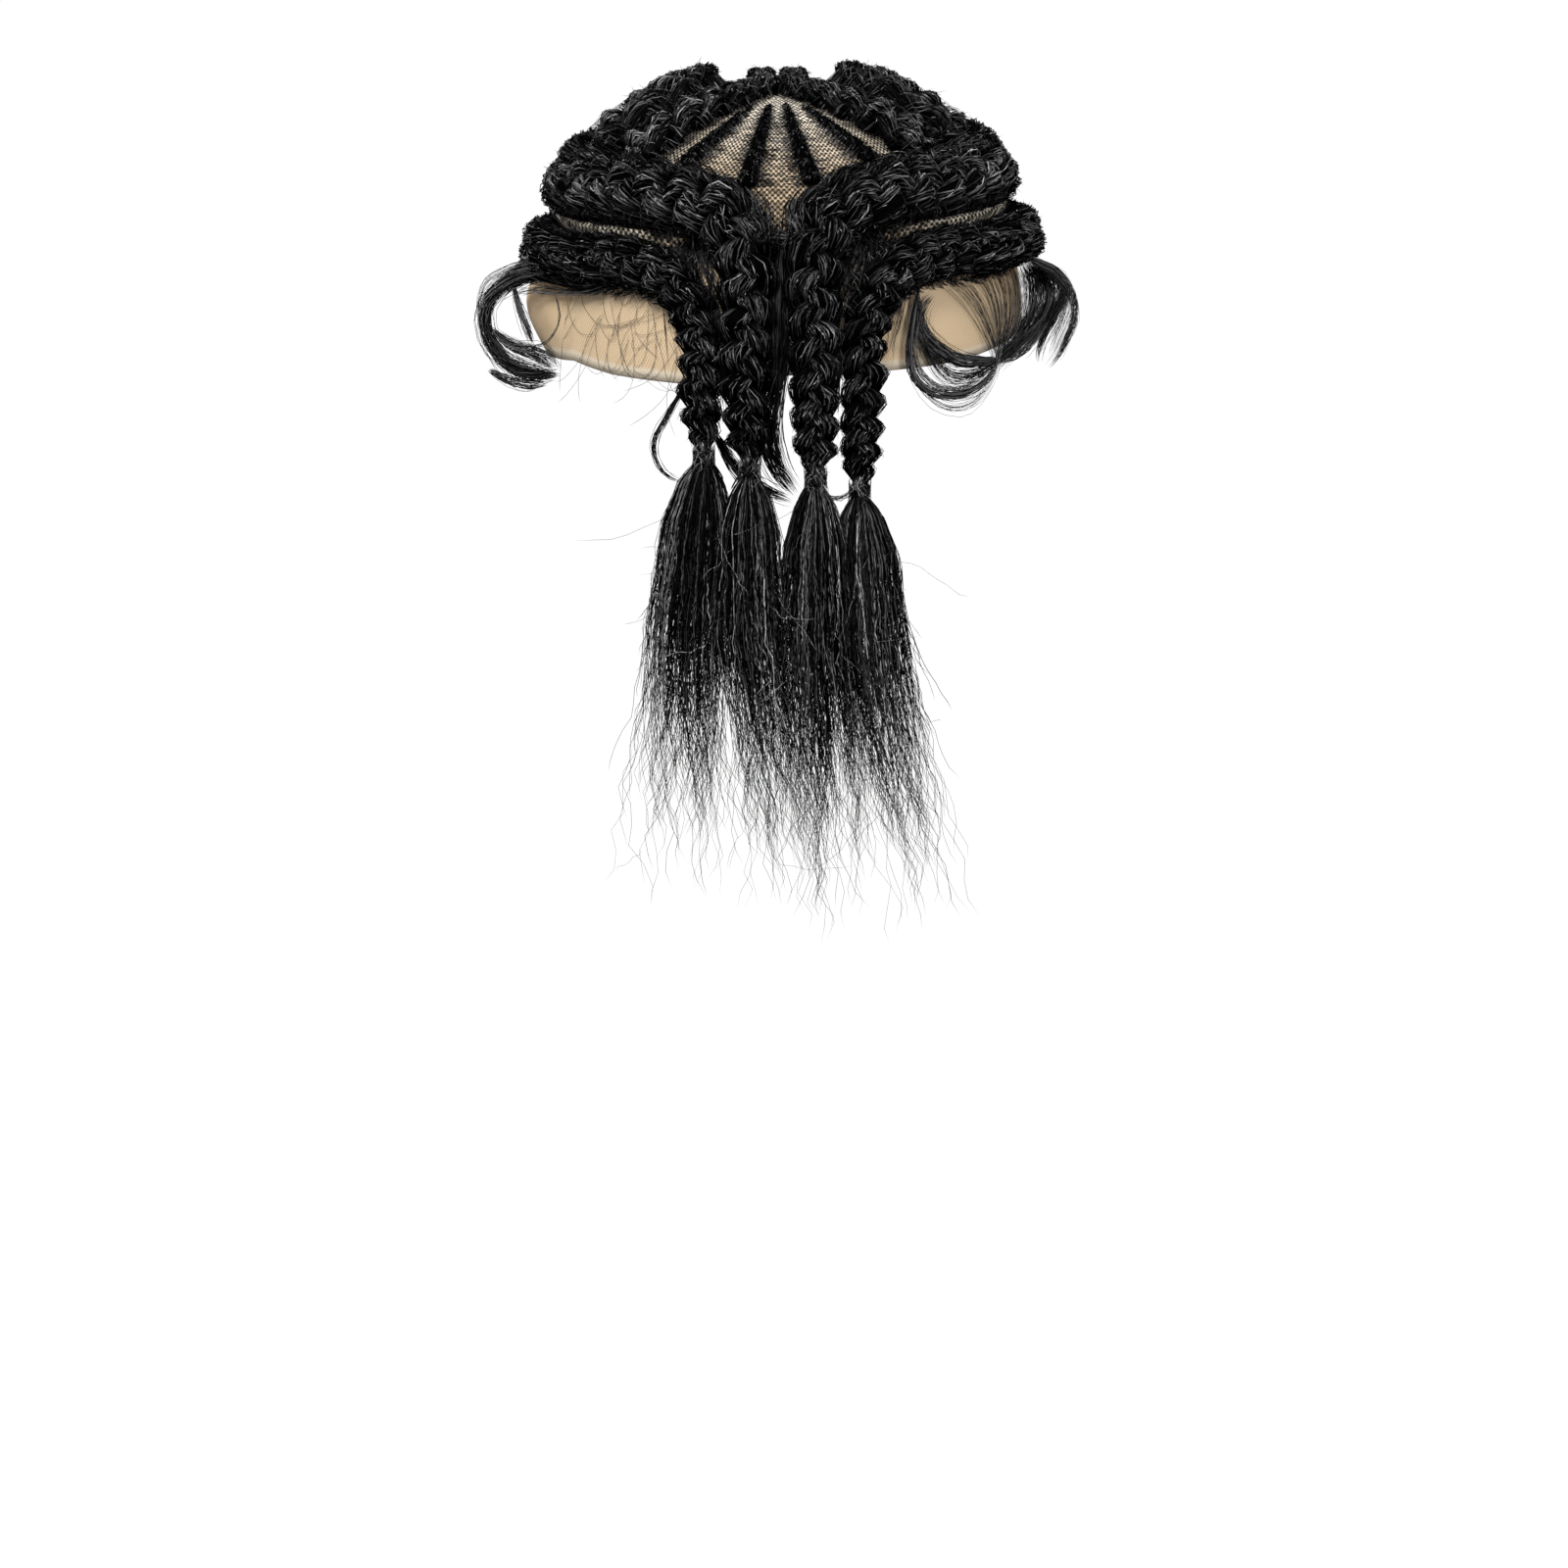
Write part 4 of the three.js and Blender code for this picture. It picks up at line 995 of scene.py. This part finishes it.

# Nape hair
# Hair that no plait has taken up: loose locks that hang beside the plaits and between them, and short hair
# on the lace between the two plaits of each side. All of it is knotted into the back of the lace. Its dim
# grey is painted shade, and it is laid thick between the plaits, where it stands partly for hair and partly
# for the shade there.

# Painted shade: the painted highlights of hair that lies in shade are kept dim
NAPE_SHADED_HIGHLIGHT_GREY = (0.1, 0.1, 0.105, 1)
painted_shade_hair = hair_finish("painted_shade_hair", NAPE_SHADED_HIGHLIGHT_GREY, roughness=0.4, specks=9, speckle=0.6, crest_highlight=0.4)
NAPE_LOCKS = [  # points, radius, number of hairs and thickness of each
    [[[-30.8, -90.5, -79], [-32, -89.5, -84.5], [-36.3, -87, -92.4], [-40.3, -84, -100.6],
      [-40, -83.5, -106], [-37, -85.5, -110.7], [-31.2, -89, -113.2]], 0.9, 30, 0.22],
    [[[0, -86, -37], [-0.5, -91.5, -46], [-1, -95, -56], [-1.5, -97, -70], [-2, -97, -84]],
     3.2, 130, 0.26],
    [[[-1, -95, -60], [-1, -96, -71.5], [-4.5, -95.5, -85.5], [-5.5, -94.5, -96.5], [-2.5, -94, -107.5],
      [4, -93.5, -116.5]], 3.2, 130, 0.24],
    [[[1, -95, -68], [-1, -95.5, -84], [-2.5, -95, -96.5], [-1, -94, -105.5], [4.5, -94, -114]],
     1.3, 30, 0.16],
    [[[-21.5, -91, -97], [-19.3, -91.5, -100.5], [-13.6, -92.5, -109.5], [-6.4, -93, -114],
      [3, -93, -118]], 2.2, 56, 0.24],
    [[[11, -94, -115.5], [16.5, -94.5, -117], [20, -94, -115.5], [22.8, -93.5, -112.5]], 0.8, 16, 0.15],
    [[[-17, -94.5, -62], [-17.5, -95.5, -76], [-17.5, -94.5, -90]], 2.6, 60, 0.24],
    [[[16, -95, -60], [15.7, -95.8, -74], [15.7, -95, -92]], 2.4, 60, 0.24],
]
GAP_HAIRS, GAP_THICKNESS = 340, 0.22  # on the lace between the two plaits of each side
nape_hair = Hairs()
for lock in NAPE_LOCKS:
    lock_hairs(nape_hair, *lock)
for sign in SIDES.values():
    start = spread(GAP_HAIRS, (11, 57), (32, 76)) * (sign, 1)
    end = start + spread(GAP_HAIRS, (-7, 5), (-1, 14)) * (sign, 1)
    bend = (start + end) / 2 + chance.normal(0, 0.8, start.shape)
    lines = on_lace(swept(start, bend, end, 5), 0.7)
    nape_hair.add(lines, GAP_THICKNESS, chance.random(GAP_HAIRS), outward(lines))
nape_hair.piece("nape_hair", painted_shade_hair, "hair")

# Parting hair
# Short hairs that slipped out of the two lowest rows of each side as they were plaited. They lie across
# the strip of bare lace between the rows, and run into the rows above and below it.

PARTING_HAIRS, PARTING_THICKNESS = 130, 0.2  # on each side
parting_hair = Hairs()
for sign in SIDES.values():
    start = spread(PARTING_HAIRS, (30, -1.4), (88, 1.4))
    into = np.stack([np.ones(PARTING_HAIRS), chance.choice((-1, 1), PARTING_HAIRS)], 1)
    end = start + spread(PARTING_HAIRS, (-7, 1.5), (-1, 4)) * into
    bend = (start + end) / 2 + chance.normal(0, 0.4, start.shape)
    turn, off = np.moveaxis(swept(start, bend, end, 5), -1, 0)
    fall = PARTING_FALL - PARTING_LEAN * np.sin(np.radians(sign * turn)) + off
    lift = PARTING_RISE * np.exp(-((off / PARTING_SPREAD) ** 2)) + 0.5
    lines = on_lace(np.stack([sign * turn, fall], -1), lift)
    parting_hair.add(lines, PARTING_THICKNESS, chance.random(PARTING_HAIRS))
# In the nape hair's dim finish: painted shade on the strip between the rows
parting_hair.piece("parting_hair", painted_shade_hair, "hair")

# Floor, lights and camera
# A plain pale floor well below the tails, soft light from all sides with the strongest from above and
# behind the viewer, and a camera at the height and distance of the picture.

FLOOR_HEIGHT, FLOOR_RADIUS = -0.46, 14
floor_form = bmesh.new()
bmesh.ops.create_circle(floor_form, cap_ends=True, segments=96, radius=FLOOR_RADIUS)
bmesh.ops.translate(floor_form, verts=floor_form.verts, vec=(0, 0, FLOOR_HEIGHT))
floor_mesh = bpy.data.meshes.new("floor")
floor_form.to_mesh(floor_mesh)
floor_form.free()
floor = new_object("floor", floor_mesh)
pale = bpy.data.materials.new("pale_floor")
pale.use_nodes = True
pale_shader = pale.node_tree.nodes["Principled BSDF"]
pale_shader.inputs["Base Color"].default_value = (0, 0, 0, 1)
pale_shader.inputs["Roughness"].default_value = 0.9
pale_shader.inputs["Emission Color"].default_value = (1, 1, 1, 1)
pale_shader.inputs["Emission Strength"].default_value = 1
floor_mesh.materials.append(pale)
floor.visible_diffuse = False
floor.visible_glossy = False

LIGHTS = {  # place, size and power
    "key": ((-0.6, -1.7, 1.5), 0.8, 52),
    "second": ((1.2, -1.5, 0.9), 0.7, 18),
    "top": ((0.1, 0.8, 1.8), 0.9, 14),
    "rim": ((-1.6, 0.9, 0.6), 0.7, 8),
}
LIGHT_TARGET = Vector((0, -0.05, -0.1))
WORLD_STRENGTH = 0.22
for name, (place, size, power) in LIGHTS.items():
    lamp = bpy.data.lights.new(name, "AREA")
    lamp.shape = "DISK"
    lamp.size = size
    lamp.energy = power
    light = new_object(name, lamp)
    light.location = place
    light.rotation_euler = (Vector(place) - LIGHT_TARGET).to_track_quat("Z", "Y").to_euler()
world = bpy.data.worlds.new("studio")
world.use_nodes = True
background = world.node_tree.nodes["Background"]
background.inputs["Color"].default_value = (1, 1, 1, 1)
background.inputs["Strength"].default_value = WORLD_STRENGTH
bpy.context.scene.world = world
bpy.context.scene.view_settings.view_transform = "Standard"

PICTURE_WIDTH = 1600  # pixels
PIXEL = 0.31 * MM  # size of one at the target
CAMERA_PITCH, CAMERA_DISTANCE = math.radians(11), 2.5
CAMERA_TARGET = Vector((0, -0.05, -0.2153))
lens = bpy.data.cameras.new("camera")
lens.sensor_width = 36
lens.lens = lens.sensor_width * CAMERA_DISTANCE / (PICTURE_WIDTH * PIXEL)
camera = new_object("camera", lens)
backward = Vector((0, -math.cos(CAMERA_PITCH), math.sin(CAMERA_PITCH)))
camera.location = CAMERA_TARGET + backward * CAMERA_DISTANCE
camera.rotation_euler = backward.to_track_quat("Z", "Y").to_euler()
bpy.context.scene.camera = camera
